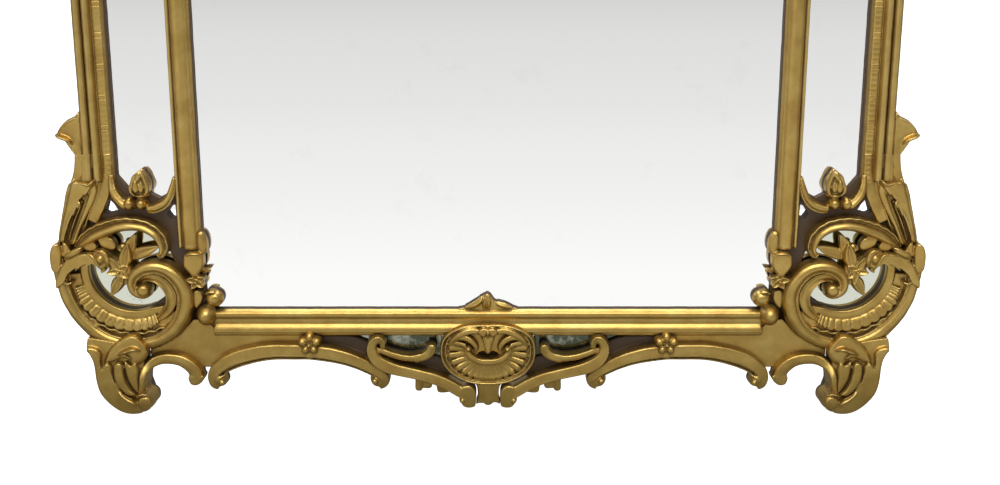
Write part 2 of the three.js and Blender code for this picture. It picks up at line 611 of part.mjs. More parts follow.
function apronScroll() {
  const level = RAIL_BOTTOM - 115;
  const raise = (points) => shift(points, [0, level]);
  const main = carve(smooth(raise(S_PATH), 14), {
    left: (t) => 4 + 5 * t ** 0.6, back: APRON_BACK, front: (t) => 50 + 4 * Math.sin(Math.PI * t), section: ROLL,
  });
  const small = carve(smooth(raise([[163, 96], [146, 92], [133, 88], [120, 84], [107, 83.5], [94, 86],
    [84, 90], [79, 96]]), 6), { left: taper(4, 4, 3), back: APRON_BACK, front: 48 });
  const smallEye = dome(raise([[81, 98]])[0], 5.5, APRON_BACK, 49);
  const eye = dome(raise([[30, 15]])[0], 9.5, APRON_BACK, 56);
  const leafBack = APRON_BACK + 6;
  const sprig = [[[88, 53], [97, 46], [101, 38], [103, 33]], [[72, 44], [74, 37], [66, 31], [54, 26]]]
    .map((points) => carve(smooth(raise(points), 4), {
      left: lobed(6, 1), back: leafBack, front: 46, section: FOLD,
    }));
  return join(main, small, smallEye, eye, ...sprig);
}

// Small plates behind the openings over the S-scroll.
const apronPlate = () => slab([[66, 70], [88, 64], [130, 74], [160, 88], [178, 97], [246, 100],
  [250, 115 - CLEAR], [66, 115 - CLEAR]].map(([u, z]) => [u, z + RAIL_BOTTOM - 115]),
APRON_BACK - CLEAR - PLATE_THICKNESS + 1, APRON_BACK - CLEAR);

const SHELL_WIDTH = 134;
const SHELL_RIBS = 10;

function shellForm(centre, width, above, below, back, front, ribs) {
  const half = width / 2;
  const outline = (angle) => {
    const high = Math.sin(angle) > 0 ? above : below;
    const round = 2.3;
    const across = Math.abs(Math.cos(angle) / half) ** round;
    const along = Math.abs(Math.sin(angle) / high) ** round;
    return (across + along) ** (-1 / round);
  };
  const rise = front - back;
  const steps = [[1, back], [1, back + rise * 0.4], [0.9, back + rise * 0.75], [0.5, front],
    [0.3, back + rise * 0.95], [0.18, back + rise * 0.5]];
  const lift = (angle, share) => (share > 0.45 && share < 0.99 ? 1.6 * Math.cos(ribs * angle) : 0);
  return mound(centre, outline, steps, ribs * 2, lift);
}

function apronShell() {
  const centre = [0, RAIL_BOTTOM - 25];
  const shell = shellForm(centre, SHELL_WIDTH, 45, 46, APRON_BACK, 64, SHELL_RIBS);
  const neck = slab([[-15, 50], [-14, 36], [-9, 28], [-13, 20], [-8, 12], [0, 10], [8, 12], [13, 20],
    [9, 28], [14, 36], [15, 50]].map(([u, z]) => [u, z + RAIL_BOTTOM - 115]), APRON_BACK, 50, { round: 4 });
  const lip = carve(smooth([[-33, 98], [-20, 84], [0, 76], [20, 84], [33, 98]]
    .map(([u, z]) => [u, z + RAIL_BOTTOM - 115]), 10), { left: 5, back: 50, front: 68 });
  const palm = carve([[0, 95], [0, 112], [0, 133]].map(([u, z]) => [u, z + RAIL_BOTTOM - 115]), {
    left: taper(4, 9, 3), back: 50, front: 68, section: FOLD,
  });
  const railSpace = box([-SIGHT_U, -RAIL_FRONT - CLEAR, RAIL_BOTTOM - CLEAR], [SIGHT_U, 0, SIGHT_BOTTOM + 10]);
  return cut(join(shell, neck, lip, palm), railSpace);
}

// A small leaf stands on the bottom rail against the glass.
function sightLeaf() {
  const half = [[36, 0.4], [29, 5], [20, 9], [13, 13], [8, 20]];
  const outline = [...half, [0, 24], ...half.map(([u, z]) => [-u, z]).reverse()];
  const leaf = slab(shift(outline, [0, SIGHT_BOTTOM]), LIP + CLEAR, 40, { round: 3 });
  const rib = carve([[0, SIGHT_BOTTOM + 2], [0, SIGHT_BOTTOM + 20]], { left: taper(5, 4, 2), back: 36, front: 44 });
  return join(leaf, rib);
}

// The ear: a leaf that curls out from the outer stile and turns over.
function ear() {
  const foot = STILE_FOOT_Z;
  const outline = [[0.3, 90], [14, 85], [22, 78], [28, 71], [32, 65], [29, 60], [20, 57], [13, 53], [9, 48],
    [8, 30], [9, 16], [0.3, 13]];
  const blade = slab(shift(outline, [FRAME_U, foot]), MEMBER_BACK + 4, 44, { round: 4 });
  const lip = carve(smooth(shift([[29, 66], [20, 61], [12, 56], [7, 46], [5, 30]], [FRAME_U, foot]), 6), {
    left: taper(4, 4.5, 2), back: 36, front: 52,
  });
  const leafSpace = carve(smooth(onRing([[66, 150], [69, 128], [74, 104]]), 8), {
    left: 10, back: RELIEF - CLEAR, front: 52, grow: CLEAR,
  });
  return cut(join(blade, lip), leafSpace);
}

// ---------------------------------------------------------------- crest

const CREST_SHELL_Z = SIGHT_CROWN + TOP_RAIL_WIDTH + 26;   // where the ribs of the shell meet
const CREST_SHELL_WIDTH = 250;
const CREST_SHELL_ABOVE = 186;
const CREST_SHELL_BELOW = 48;
const CREST_SHELL_LOBES = 16;          // in a whole turn; the upper half shows
const CREST_LOBE_DEEP = 0.09;          // how far the edge draws in between two lobes, as a share
const CREST_BACK = MEMBER_BACK + 6;

const onCrest = (points) => shift(points, [0, CREST_SHELL_Z]);

// The crest is a scallop shell, whose ribs fan out from its foot to a lobed edge.
function crestShellForm(back, front, grow = 0) {
  const outline = (angle) => {
    const high = Math.sin(angle) > 0 ? CREST_SHELL_ABOVE : CREST_SHELL_BELOW;
    const even = Math.hypot(Math.cos(angle) * 2 / CREST_SHELL_WIDTH, Math.sin(angle) / high) ** -1;
    return even * (1 - CREST_LOBE_DEEP * (0.5 - 0.5 * Math.cos(CREST_SHELL_LOBES * angle))) + grow;
  };
  const rise = front - back;
  const steps = [[1, back], [1, back + rise * 0.4], [0.86, back + rise * 0.75], [0.4, front], [0.2, back + rise * 0.8]];
  const rib = (angle, share) => (share > 0.3 && share < 0.95 ? 3 * Math.cos(CREST_SHELL_LOBES * angle) : 0);
  return mound([0, CREST_SHELL_Z], outline, steps, CREST_SHELL_LOBES * 2, rib);
}

function crestShell() {
  const lip = carve(smooth(onCrest([[-62, 8], [-38, -6], [0, -12], [38, -6], [62, 8]]), 8), {
    left: taper(5, 9, 5), back: CREST_BACK, front: 70, section: ROLL,
  });
  const pearl = dome(onCrest([[0, 16]])[0], 15, CREST_BACK, 74);
  return cut(join(crestShellForm(CREST_BACK, 64), lip, pearl), topRailSpace());
}

// A long scroll lies on each shoulder of the arch, between the crest shell and the corner.
// Its points are [share of the way from the shell to the corner, height above the rail].
const CREST_FROM_U = CREST_SHELL_WIDTH / 2 + 14;
const CREST_TO_U = SIGHT_U + 4;
const onShoulder = ([share, lift]) => {
  const u = CREST_FROM_U + share * (CREST_TO_U - CREST_FROM_U);
  return [u, archZ(u, RAIL_OUTER_RADIUS) + lift];
};
const CREST_PATH = [[0.1, 66], [0.03, 62], [0, 48], [0.04, 33], [0.12, 25], [0.24, 21], [0.4, 18], [0.56, 15],
  [0.72, 15], [0.86, 20], [0.96, 32], [0.99, 49], [0.94, 61], [0.87, 58]].map(onShoulder);

const crestStrip = (grow = 0) => carve(smooth(CREST_PATH, 18), {
  left: taper(8, 16, 8), back: MEMBER_BACK + 16, front: 58, section: ROLL, grow,
});

const shellSpace = () => crestShellForm(0, 70, CLEAR);

const crestScroll = () => cut(crestStrip(), topRailSpace(), shellSpace());

// Leaves rise from behind the crest scroll.
function crestLeaf() {
  const blades = [
    [[0.06, -2], [0.06, 46], [0.12, 84], [0.24, 100]],
    [[0.06, -2], [0.16, 40], [0.3, 66], [0.46, 68]],
    [[0.06, -2], [0.26, 32], [0.46, 46], [0.64, 42]],
  ].map((points) => carve(smooth(points.map(onShoulder), 6), {
    left: lobed(16, 2), back: MEMBER_BACK + 2, front: MEMBER_BACK + 16 - CLEAR, section: FOLD,
  }));
  return cut(join(...blades), topRailSpace(), shellSpace());
}

// A scroll and leaf turn over the upper corner of the frame.
function shoulder() {
  const corner = [FRAME_U, archZ(FRAME_U, RAIL_OUTER_RADIUS)];
  const path = [[-58, 40], [-34, 34], [-10, 22], [8, 4], [17, -20], [18, -44], [10, -62], [14, -76]];
  const strip = carve(smooth(shift(path, corner), 8), {
    left: taper(7, 13, 6), back: MEMBER_BACK + 4, front: 60, section: ROLL,
  });
  const leaf = carve(smooth(shift([[-4, 22], [16, 18], [34, 2], [40, -18]], corner), 6), {
    left: lobed(10, 2), back: MEMBER_BACK + 4, front: 52, section: FOLD,
  });
  const frameSide = box([0, -62, 0], [FRAME_U + CLEAR, 0, corner[1] - 2]);
  return cut(join(strip, leaf), topRailSpace(), frameSide);
}

// ---------------------------------------------------------------- back: battens and hangers

const batten = (halfWidth, centreZ) => slab([[-halfWidth, -BATTEN_HEIGHT / 2], [halfWidth, -BATTEN_HEIGHT / 2],
  [halfWidth, BATTEN_HEIGHT / 2], [-halfWidth, BATTEN_HEIGHT / 2]].map(([u, z]) => [u, z + centreZ]),
0, BATTEN_THICKNESS);

const HANGER_U = SIDE_OUTER_U + REBATE + (OUTER_STILE_WIDTH - REBATE) / 2;
const HANGER_Z = archZ(FRAME_U, CROWN_RADIUS) - HANGER_DROP;
const UPPER_BATTEN_Z = HANGER_Z - RING_DROP - 40;
const KNUCKLE_HOLE = WIRE_DIAMETER / 2 + PIVOT_CLEAR;
const KNUCKLE_RADIUS = KNUCKLE_HOLE + STRAP_THICKNESS;
const PIVOT_DEPTH = MEMBER_BACK - CLEAR - KNUCKLE_RADIUS;

// A strap folded round the ring's bar and screwed to the back of the stile.
function hangerStrap() {
  const rear = MEMBER_BACK - CLEAR;
  const turn = (radius, from, to) => arc([PIVOT_DEPTH, HANGER_Z], radius, from, to, 9);
  const outline = [[rear, HANGER_Z], ...turn(KNUCKLE_RADIUS, -15, -200), [rear - STRAP_THICKNESS, HANGER_Z + 5.2],
    [rear - STRAP_THICKNESS, HANGER_Z + STRAP_LENGTH], [rear, HANGER_Z + STRAP_LENGTH]];
  const rings = [-1, 1].map((side) => outline.map(([depth, z]) => [HANGER_U + side * STRAP_WIDTH / 2, depth, z]));
  const folded = loft(rings, capOf(outline));
  const hole = [-1, 1].map((side) => arc([PIVOT_DEPTH, HANGER_Z], KNUCKLE_HOLE, 15, 345, 9)
    .map(([depth, z]) => [HANGER_U + side * STRAP_WIDTH, depth, z]));
  const screws = [14, 38].map((drop) => mound([HANGER_U, HANGER_Z + drop], 4,
    [[1, rear - 0.5], [1, rear - STRAP_THICKNESS - 0.4], [0.5, rear - STRAP_THICKNESS - 1.4]], 10));
  return join(cut(folded, loft(hole, capOf(hole[0].map(([, depth, z]) => [depth, z])))), ...screws);
}

// The ring: a straight bar in the knuckle and a round drop below it.
function hangerRing() {
  const half = (RING_INNER_WIDTH + WIRE_DIAMETER) / 2;
  const corner = 4;
  const path = [...arc([HANGER_U, HANGER_Z - RING_DROP + half - 4], half, 180, 360, 7),
    ...arc([HANGER_U + half - corner, HANGER_Z - corner], corner, 0, 90, 3),
    ...arc([HANGER_U - half + corner, HANGER_Z - corner], corner, 90, 180, 3)];
  const wire = arc([0, PIVOT_DEPTH], WIRE_DIAMETER / 2, 0, 300, 5);
  return sweep(path, () => wire, true);
}

// ---------------------------------------------------------------- assembly

const finish = (colour, roughness, metalness) => () => new THREE.MeshStandardMaterial({
  color: colour, roughness, metalness, flatShading: true,
});
const gilt = finish(0x8f7537, 0.42, 0.85);
const mirrorGlass = finish(0xd8dadb, 0.05, 1);
const pine = finish(0xa98658, 0.8, 0);
const iron = finish(0x4a4742, 0.5, 0.9);

const mirror = new THREE.Group();
mirror.position.z = -ORIGIN_Z;

const add = (name, geometry, material) => {
  const mesh = new THREE.Mesh(geometry, material());
  mesh.name = name;
  mirror.add(mesh);
};

const addPair = (name, geometry, material) => {
  add(`${name}_right`, geometry, material);
  add(`${name}_left`, mirrored(geometry), material);
};

const single = {
  bottom_rail: [bottomRail, gilt],
  top_rail: [topRail, gilt],
  apron_shell: [apronShell, gilt],
  sight_leaf: [sightLeaf, gilt],
  crest_shell: [crestShell, gilt],
  main_plate: [mainPlate, mirrorGlass],
  backboard_centre: [mainBoard, pine],
  base_batten: [() => batten(FRAME_U - 78, ORIGIN_Z), pine],
  upper_batten: [() => batten(FRAME_U - 6, UPPER_BATTEN_Z), pine],
};

const pairs = {
  inner_stile: [innerStile, gilt],
  outer_stile: [outerStile, gilt],
  corner_block: [cornerBlock, gilt],
  corner_scroll: [cornerScroll, gilt],
  corner_crook: [crook, gilt],
  corner_leaf: [cornerLeaf, gilt],
  corner_spray: [cornerSpray, gilt],
  bud: [bud, gilt],
  bead_drop: [beadDrop, gilt],
  foot: [foot, gilt],
  foot_arch: [footArch, gilt],
  spandrel: [spandrel, gilt],
  apron_arch: [apronArch, gilt],
  arch_rosette: [archRosette, gilt],
  apron_scroll: [apronScroll, gilt],
  ear: [ear, gilt],
  crest_scroll: [crestScroll, gilt],
  crest_leaf: [crestLeaf, gilt],
  shoulder: [shoulder, gilt],
  side_plate: [sidePlate, mirrorGlass],
  corner_plate: [cornerPlate, mirrorGlass],
  apron_plate: [apronPlate, mirrorGlass],
  backboard_side: [sideBoard, pine],
  hanger_strap: [hangerStrap, iron],
  hanger_ring: [hangerRing, iron],
};

for (const [name, [shape, material]] of Object.entries(single)) add(name, shape(), material);
for (const [name, [shape, material]] of Object.entries(pairs)) addPair(name, shape(), material);

export default mirror;
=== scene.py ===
# %% [markdown]
# # A giltwood mirror with scroll corners
# The object is a tall wall mirror: carved and gilded wood round a wide middle plate, with a narrow
# margin plate at each side, pierced scroll corners, a pierced apron and two scroll feet. The frame
# comes first, because every carved piece has to lie on the member that carries it.

# %% Load the frame
import math
import bmesh
import bpy
import numpy as np
from mathutils import Matrix, Vector, noise
from mathutils.geometry import tessellate_polygon


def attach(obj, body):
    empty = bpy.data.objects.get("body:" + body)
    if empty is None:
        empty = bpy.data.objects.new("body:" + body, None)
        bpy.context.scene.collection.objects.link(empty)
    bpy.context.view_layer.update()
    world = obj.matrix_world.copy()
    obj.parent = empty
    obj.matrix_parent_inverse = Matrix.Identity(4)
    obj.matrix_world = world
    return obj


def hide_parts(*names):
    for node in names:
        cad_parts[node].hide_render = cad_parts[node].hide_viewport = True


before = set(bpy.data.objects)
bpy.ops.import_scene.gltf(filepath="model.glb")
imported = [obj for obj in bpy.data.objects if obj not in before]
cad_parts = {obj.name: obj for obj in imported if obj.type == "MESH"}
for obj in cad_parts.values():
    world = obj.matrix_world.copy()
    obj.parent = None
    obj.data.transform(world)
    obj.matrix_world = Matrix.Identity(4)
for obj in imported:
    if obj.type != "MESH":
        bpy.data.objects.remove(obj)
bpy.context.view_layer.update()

# %% [markdown]
# The camera stands a little above the lower part of the mirror and looks down at it, so that the
# stiles converge downwards. Its lens comes from how far they converge.

# %% Camera
CAMERA_PLACE = (0.01707, -1.8088, 0.5485)
CAMERA_PITCH = 76
LENS_MM, SENSOR_MM = 46.8, 36
camera_data = bpy.data.cameras.new("camera")
camera_data.lens = LENS_MM
camera_data.sensor_width = SENSOR_MM
camera = bpy.data.objects.new("camera", camera_data)
camera.location = CAMERA_PLACE
camera.rotation_euler = (math.radians(CAMERA_PITCH), 0, 0)
bpy.context.scene.collection.objects.link(camera)
bpy.context.scene.camera = camera
print("camera at", CAMERA_PLACE)

# %% [markdown]
# A carver draws on the wood: how far from the middle, how high above the feet, and how deep in
# front of the wall. The pieces are drawn the same way, in millimetres, and only the right-hand
# one of a pair is drawn. Its mesh is mirrored for the left.

# %% Drawing lines
FEET_BELOW_ORIGIN = 138
MM = 0.001
TINY = 1e-9


def through(points, step=1.6, closed=False):
    """A smooth line through the points. Every column, such as a width, is smoothed alike."""
    rows = np.array(points, float)
    count = len(rows)
    last = count if closed else count - 1
    line = []
    for i in range(last):
        before = rows[(i - 1) % count] if closed or i > 0 else 2 * rows[0] - rows[1]
        start = rows[i]
        end = rows[(i + 1) % count]
        after = rows[(i + 2) % count] if closed or i < count - 2 else 2 * rows[-1] - rows[-2]
        parts = max(2, math.ceil(np.linalg.norm((end - start)[:2]) / step))
        for k in range(parts):
            t = k / parts
            bend = 2 * before - 5 * start + 4 * end - after
            twist = 3 * start - before - 3 * end + after
            line.append((2 * start + (end - before) * t + bend * t * t + twist * t**3) / 2)
    if not closed:
        line.append(rows[-1])
    return np.array(line)


def arc(centre, radius, start, end, *columns, steps=24):
    """Points on a circle, in degrees, each with the same further columns."""
    turns = [math.radians(a) for a in np.linspace(start, end, steps)]
    return [(centre[0] + radius * math.cos(a), centre[1] + radius * math.sin(a), *columns) for a in turns]


def lefts(line):
    """The direction to the left of travel at each point of a line."""
    way = np.gradient(line[:, :2], axis=0)
    way /= np.maximum(np.linalg.norm(way, axis=1), TINY)[:, None]
    return np.stack([-way[:, 1], way[:, 0]], axis=1)


def run_of(line):
    """How far along the line each point is."""
    steps = np.linalg.norm(np.diff(line[:, :2], axis=0), axis=1)
    return np.concatenate([[0], np.cumsum(steps)])


# %% [markdown]
# Carving is overlapping masses that run into each other. Each ornament is built that way: strips
# with a moulded section, domes and pierced boards are piled up, and a voxel remesh makes one skin
# of them, as gesso does on the real wood. It is the quickest way to a carved look in code, and it
# needs no perfect joins.

# %% Clay: the masses of one ornament
ROUND = [
    (-1, 0), (-1, 0.3), (-0.92, 0.55), (-0.7, 0.8), (-0.38, 0.95), (0, 1), (0.38, 0.95), (0.7, 0.8),
    (0.92, 0.55), (1, 0.3), (1, 0)
]
FLAT = [
    (-1, 0), (-1, 0.6), (-0.96, 0.82), (-0.85, 0.94), (-0.6, 0.985), (0, 1), (0.6, 0.985), (0.85, 0.94),
    (0.96, 0.82), (1, 0.6), (1, 0)
]
DOME_LEVELS, DOME_SIDES = 8, 28
DOME_TOP = 0.02


class Clay:
    """The masses of one ornament, in millimetres: u to the right, depth from the wall, z up."""

    def __init__(self):
        self.points = []
        self.faces = []

    def add(self, points, faces):
        start = len(self.points)
        self.points.extend(points)
        self.faces.extend([[i + start for i in face] for face in faces])

    def strip(self, stations, section=ROUND, back=36, closed=False, step=1.6):
        """A carved strip. Stations are u, z, half width, front. The section is a list of
        (across, rise), or a function of the distance run and the whole run."""
        line = through(stations, step, closed)
        side = lefts(line)
        run = run_of(line)
        rings = []
        for i, (u, z, half, front) in enumerate(line):
            shape = section(run[i], run[-1]) if callable(section) else section
            rings.append([
                (u + side[i][0] * across * half, back + (front - back) * rise, z + side[i][1] * across * half)
                for across, rise in shape
            ])
        self.rings(rings, closed)

    def rings(self, rings, closed=False):
        """Joins rings of as many points each, and caps the two ends."""
        size = len(rings[0])
        faces = []
        for i in range(len(rings) if closed else len(rings) - 1):
            after = (i + 1) % len(rings)
            for k in range(size):
                nxt = (k + 1) % size
                faces.append((i * size + k, i * size + nxt, after * size + nxt, after * size + k))
        if not closed:
            faces.append(tuple(range(size)))
            faces.append(tuple(reversed(range((len(rings) - 1) * size, len(rings) * size))))
        self.add([p for ring in rings for p in ring], faces)

    def dome(self, u, z, half_u, half_z, front, back=36, lean=0, point=0, swell=2.0):
        """A rounded mass, turned by lean degrees. point draws its upper end out to a tip."""
        turn = math.radians(lean)
        rings = []
        for level in range(DOME_LEVELS + 1):
            height = math.sin(math.radians(90) * level / DOME_LEVELS)
            shrink = max(DOME_TOP, (1 - height**swell) ** (1 / swell))
            ring = []
            for k in range(DOME_SIDES):
                a = 2 * math.pi * k / DOME_SIDES
                tip = 1 + point * max(0, math.sin(a)) ** 6
                across = half_u * shrink * math.cos(a)
                along = half_z * shrink * math.sin(a) * tip
                ring.append((
                    u + across * math.cos(turn) - along * math.sin(turn),
                    back + (front - back) * height,
                    z + across * math.sin(turn) + along * math.cos(turn),
                ))
            rings.append(ring)
        self.rings(rings)

    def relief(self, outline, front, back=36, soft=2.2):
        """A mass with a broad flat top and rounded edges, cut to a smooth outline. A third number
        at a point says how far the top rises there."""
        line = through([(*p, 0)[:3] for p in outline], 2.0, closed=True)
        ahead = np.roll(line[:, :2], -1, axis=0) - np.roll(line[:, :2], 1, axis=0)
        ahead /= np.maximum(np.linalg.norm(ahead, axis=1), TINY)[:, None]
        u, z = line[:, 0], line[:, 1]
        turn = np.sign(np.sum(u * np.roll(z, -1) - np.roll(u, -1) * z))
        rings = [[(u, back, z) for u, z, _ in line]]
        for inset, drop in ((0, soft), (0.3 * soft, 0.3 * soft), (soft, 0)):
            rings.append([
                (u - way[1] * turn * inset, front + rise - drop, z + way[0] * turn * inset)
                for (u, z, rise), way in zip(line, ahead)
            ])
        self.rings(rings)

    def board(self, outline, back, front, holes=()):
        """A flat board cut to an outline, with holes right through it."""
        loops = [[Vector((p[0], p[1], 0)) for p in loop] for loop in (outline, *holes)]
        flat = [p for loop in loops for p in loop]
        count = len(flat)
        faces = []
        for a, b, c in tessellate_polygon(loops):
            faces.append((a, b, c))
            faces.append((c + count, b + count, a + count))
        start = 0
        for loop in loops:
            for k in range(len(loop)):
                nxt = (k + 1) % len(loop)
                faces.append((start + k, start + nxt, start + nxt + count, start + k + count))
            start += len(loop)
        self.add([(p.x, back, p.y) for p in flat] + [(p.x, front, p.y) for p in flat], faces)


# %% [markdown]
# The finished skin is smoothed a little, because gesso fills sharp corners, and shaken by a slow
# noise of a few tenths of a millimetre, because a gouge never runs quite true.

# %% From clay to a carved piece
VOXEL_MM = 1.15
SMOOTHING = 3
HAND_MM = 0.35
WAVES_PER_METRE = 65


def link(name, mesh):
    piece = bpy.data.objects.new(name, mesh)
    bpy.context.scene.collection.objects.link(piece)
    return piece


def hand_carved(mesh, amount=HAND_MM):
    """Shakes the surface by amount mm, in waves about 15 mm long."""
    for vertex in mesh.vertices:
        shake = noise.noise_vector(vertex.co * WAVES_PER_METRE)
        vertex.co += shake * amount * MM


def row_mesh(name, points, faces):
    """A mesh in metres, in the frame, from points in millimetres."""
    places = [(u * MM, -depth * MM, (z - FEET_BELOW_ORIGIN) * MM) for u, depth, z in points]
    mesh = bpy.data.meshes.new(name)
    mesh.from_pydata(places, [], faces)
    mesh.update()
    return mesh


def skinned(name, clay, voxel, smooth):
    """One closed skin over all the masses in the clay."""
    piece = link(name, row_mesh(name, clay.points, clay.faces))
    skin = piece.modifiers.new("skin", "REMESH")
    skin.mode = "VOXEL"
    skin.voxel_size = voxel * MM
    skin.use_smooth_shade = True
    ease = piece.modifiers.new("ease", "SMOOTH")
    ease.factor = 0.5
    ease.iterations = smooth
    graph = bpy.context.evaluated_depsgraph_get()
    mesh = bpy.data.meshes.new_from_object(piece.evaluated_get(graph))
    piece.modifiers.clear()
    piece.data = mesh
    hand_carved(mesh)
    return piece


def keep(piece, stands_for, finish):
    """The piece stands for a CAD node, rides on the frame, and takes its finish."""
    piece.name = stands_for + "_carved"
    piece.data.name = piece.name
    piece.data.materials.clear()
    piece.data.materials.append(finish)
    for polygon in piece.data.polygons:
        polygon.use_smooth = True
    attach(piece, "frame")
    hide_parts(stands_for)


def pair(piece, stands_for, finish):
    """Keeps the right-hand piece, and mirrors it for the left."""
    mesh = piece.data.copy()
    mesh.transform(Matrix.Scale(-1, 4, (1, 0, 0)))
    mesh.flip_normals()
    other = link(stands_for + "_left", mesh)
    keep(piece, stands_for + "_right", finish)
    keep(other, stands_for + "_left", finish)
    print(stands_for, "x 2,", len(mesh.polygons), "faces each")


def carve_pair(stands_for, clay, voxel=VOXEL_MM, smooth=SMOOTHING, finish=None):
    pair(skinned(stands_for, clay, voxel, smooth), stands_for, finish or gilt)


def carve_one(stands_for, clay, voxel=VOXEL_MM, smooth=SMOOTHING):
    piece = skinned(stands_for, clay, voxel, smooth)
    keep(piece, stands_for, gilt)
    print(stands_for, len(piece.data.polygons), "faces")


# %% [markdown]
# ## Finishes
# Every colour is written as it looks on a screen, as an sRGB hex value, and turned to linear light
# by one function. One more function adds a node with its settings and links. Two kinds of node come
# back all the time: one lays a colour over another, and one stretches a range of values to another.

# %% Colour and node helpers
def hex_colour(value):
    """An sRGB hex value as linear red, green, blue and alpha."""
    parts = [int(value[i:i + 2], 16) / 255 for i in (1, 3, 5)]
    return (*[c / 12.92 if c <= 0.04045 else ((c + 0.055) / 1.055) ** 2.4 for c in parts], 1)


def node(tree, kind, settings=None, **inputs):
    """Adds a node. Inputs named by socket take a value, or a socket to link from."""
    made = tree.nodes.new(kind)
    for name, value in (settings or {}).items():
        setattr(made, name, value)
    for name, value in inputs.items():
        key = int(name[1:]) if name[0] == "_" and name[1:].isdigit() else name.replace("_", " ")
        socket = made.inputs[key]
        if isinstance(value, bpy.types.NodeSocket):
            tree.links.new(value, socket)
        else:
            socket.default_value = value
    return made


def material(name):
    """A new material, its node tree and its shader."""
    made = bpy.data.materials.new(name)
    made.use_nodes = True
    return made, made.node_tree, made.node_tree.nodes["Principled BSDF"]


def ramp(tree, factor, stops):
    """A colour for each value, in straight steps between the stops."""
    made = node(tree, "ShaderNodeValToRGB", Fac=factor)
    band = made.color_ramp.elements
    while len(band) < len(stops):
        band.new(0.5)
    for element, (place, colour) in zip(band, stops):
        element.position = place
        element.color = hex_colour(colour)
    return made.outputs["Color"]


def blend(tree, share, under, over):
    """The colour over laid on the colour under, by a share from 0 to 1."""
    made = node(tree, "ShaderNodeMix", {"data_type": "RGBA"}, _0=share, _6=under, _7=over)
    return made.outputs["Result"]


def spread(tree, value, low, high, at_low, at_high):
    """Stretches low..high to at_low..at_high, and holds the value beyond both ends."""
    made = node(tree, "ShaderNodeMapRange", Value=value, _1=low, _2=high, _3=at_low, _4=at_high)
    return made.outputs["Result"]


# %% [markdown]
# Gilding: gold leaf on red-brown clay and white gesso, toned with size and darkened by dust. It is
# metal, so it has no colour of its own under the shine: the base colour tints what it reflects.
# The hollows keep dust and toning and turn umber, and that umber also paints in the shade that falls in them.
# The ridges are rubbed bright and carry a painted highlight as well. The sides towards the wall were never
# gilded, only painted ochre-brown, and that paint also stands in for the shade on them.

# %% Gilt
AGEING_MM = 30
HOLLOW_MM = 6
DENT_MM = 4
LOW_PAINT, HIGH_PAINT = 0.2, 1.8


def gilding(name, ground):
    """Gold leaf on what stands more than ground mm out from the wall, brown paint behind it that also stands
    in for the shade there. The hollows get dust with painted shade, the ridges a painted highlight.
    """
    made, tree, shader = material(name)
    place = node(tree, "ShaderNodeTexCoord").outputs["Object"]
    ages = node(tree, "ShaderNodeTexNoise", Vector=place, Scale=1000 / AGEING_MM, Detail=4.0, Roughness=0.6)
    leaf = ramp(tree, ages.outputs["Fac"], [(0.3, "#b08e4e"), (0.5, "#bd9e57"), (0.7, "#c9ab66")])
    # Umber in the hollows: partly dust and toning, partly painted shade.
    hollow = node(tree, "ShaderNodeAmbientOcclusion", {"samples": 8}, Distance=HOLLOW_MM * MM)
    dust_and_shade = spread(tree, hollow.outputs["AO"], 0.2, 0.8, 0.85, 0.0)
    dusted_and_shaded = blend(tree, dust_and_shade, leaf, hex_colour("#4d3319"))
    # Pale gold on sharp ridges: partly rubbed wear, partly a painted highlight.
    shape = node(tree, "ShaderNodeNewGeometry")
    ridge = spread(tree, shape.outputs["Pointiness"], 0.52, 0.6, 0.0, 0.7)
    rubbed_and_highlit = blend(tree, ridge, dusted_and_shaded, hex_colour("#e6d493"))
    # Brown paint behind the gilded front, which also stands in for the shade there.
    depth = node(tree, "ShaderNodeSeparateXYZ", Vector=place)
    side = spread(tree, depth.outputs["Y"], -(ground + HIGH_PAINT) * MM, -(ground + LOW_PAINT) * MM, 0.0, 1.0)
    tree.links.new(blend(tree, side, rubbed_and_highlit, hex_colour("#49361f")), shader.inputs["Base Color"])
    tree.links.new(spread(tree, dust_and_shade, 0.0, 1.0, 0.42, 0.7), shader.inputs["Roughness"])
    dull = node(tree, "ShaderNodeMath", {"operation": "MAXIMUM"}, _0=dust_and_shade, _1=side)
    tree.links.new(spread(tree, dull.outputs["Value"], 0.0, 1.0, 1.0, 0.0), shader.inputs["Metallic"])
    grain = node(tree, "ShaderNodeTexNoise", Vector=place, Scale=1000 / DENT_MM, Detail=3.0)
    dents = node(tree, "ShaderNodeBump", Strength=0.25, Distance=0.0006, Height=grain.outputs["Fac"])
    tree.links.new(dents.outputs["Normal"], shader.inputs["Normal"])
    print(name, len(tree.nodes), "nodes")
    return made


gilt = gilding("oil_gilding_toned_and_shaded", 36)
low_gilt = gilding("oil_gilding_on_low_leaves", 19)

# %% [markdown]
# Old mirror glass is slightly grey, and its silvering has foxed where damp came in. The small
# plates in the corners and the apron are older-looking and darker than the big ones.

# %% Mirror glass
FOX_EDGE = 0.18


def mirror(name, tint, spots_mm, spot_colour, amount, begin=0.6):
    """Silvered glass. Where the noise passes begin, the silver turns to the spot colour."""
    made, tree, shader = material(name)
    place = node(tree, "ShaderNodeTexCoord").outputs["Object"]
    cloud = node(tree, "ShaderNodeTexNoise", Vector=place, Scale=1000 / spots_mm, Detail=6.0, Roughness=0.65)
    foxed = spread(tree, cloud.outputs["Fac"], begin, begin + FOX_EDGE, 0.0, amount)
    tree.links.new(blend(tree, foxed, hex_colour(tint), hex_colour(spot_colour)), shader.inputs["Base Color"])
    tree.links.new(spread(tree, foxed, 0.0, 1.0, 0.015, 0.3), shader.inputs["Roughness"])
    shader.inputs["Metallic"].default_value = 1.0
    print(name, len(tree.nodes), "nodes")
    return made


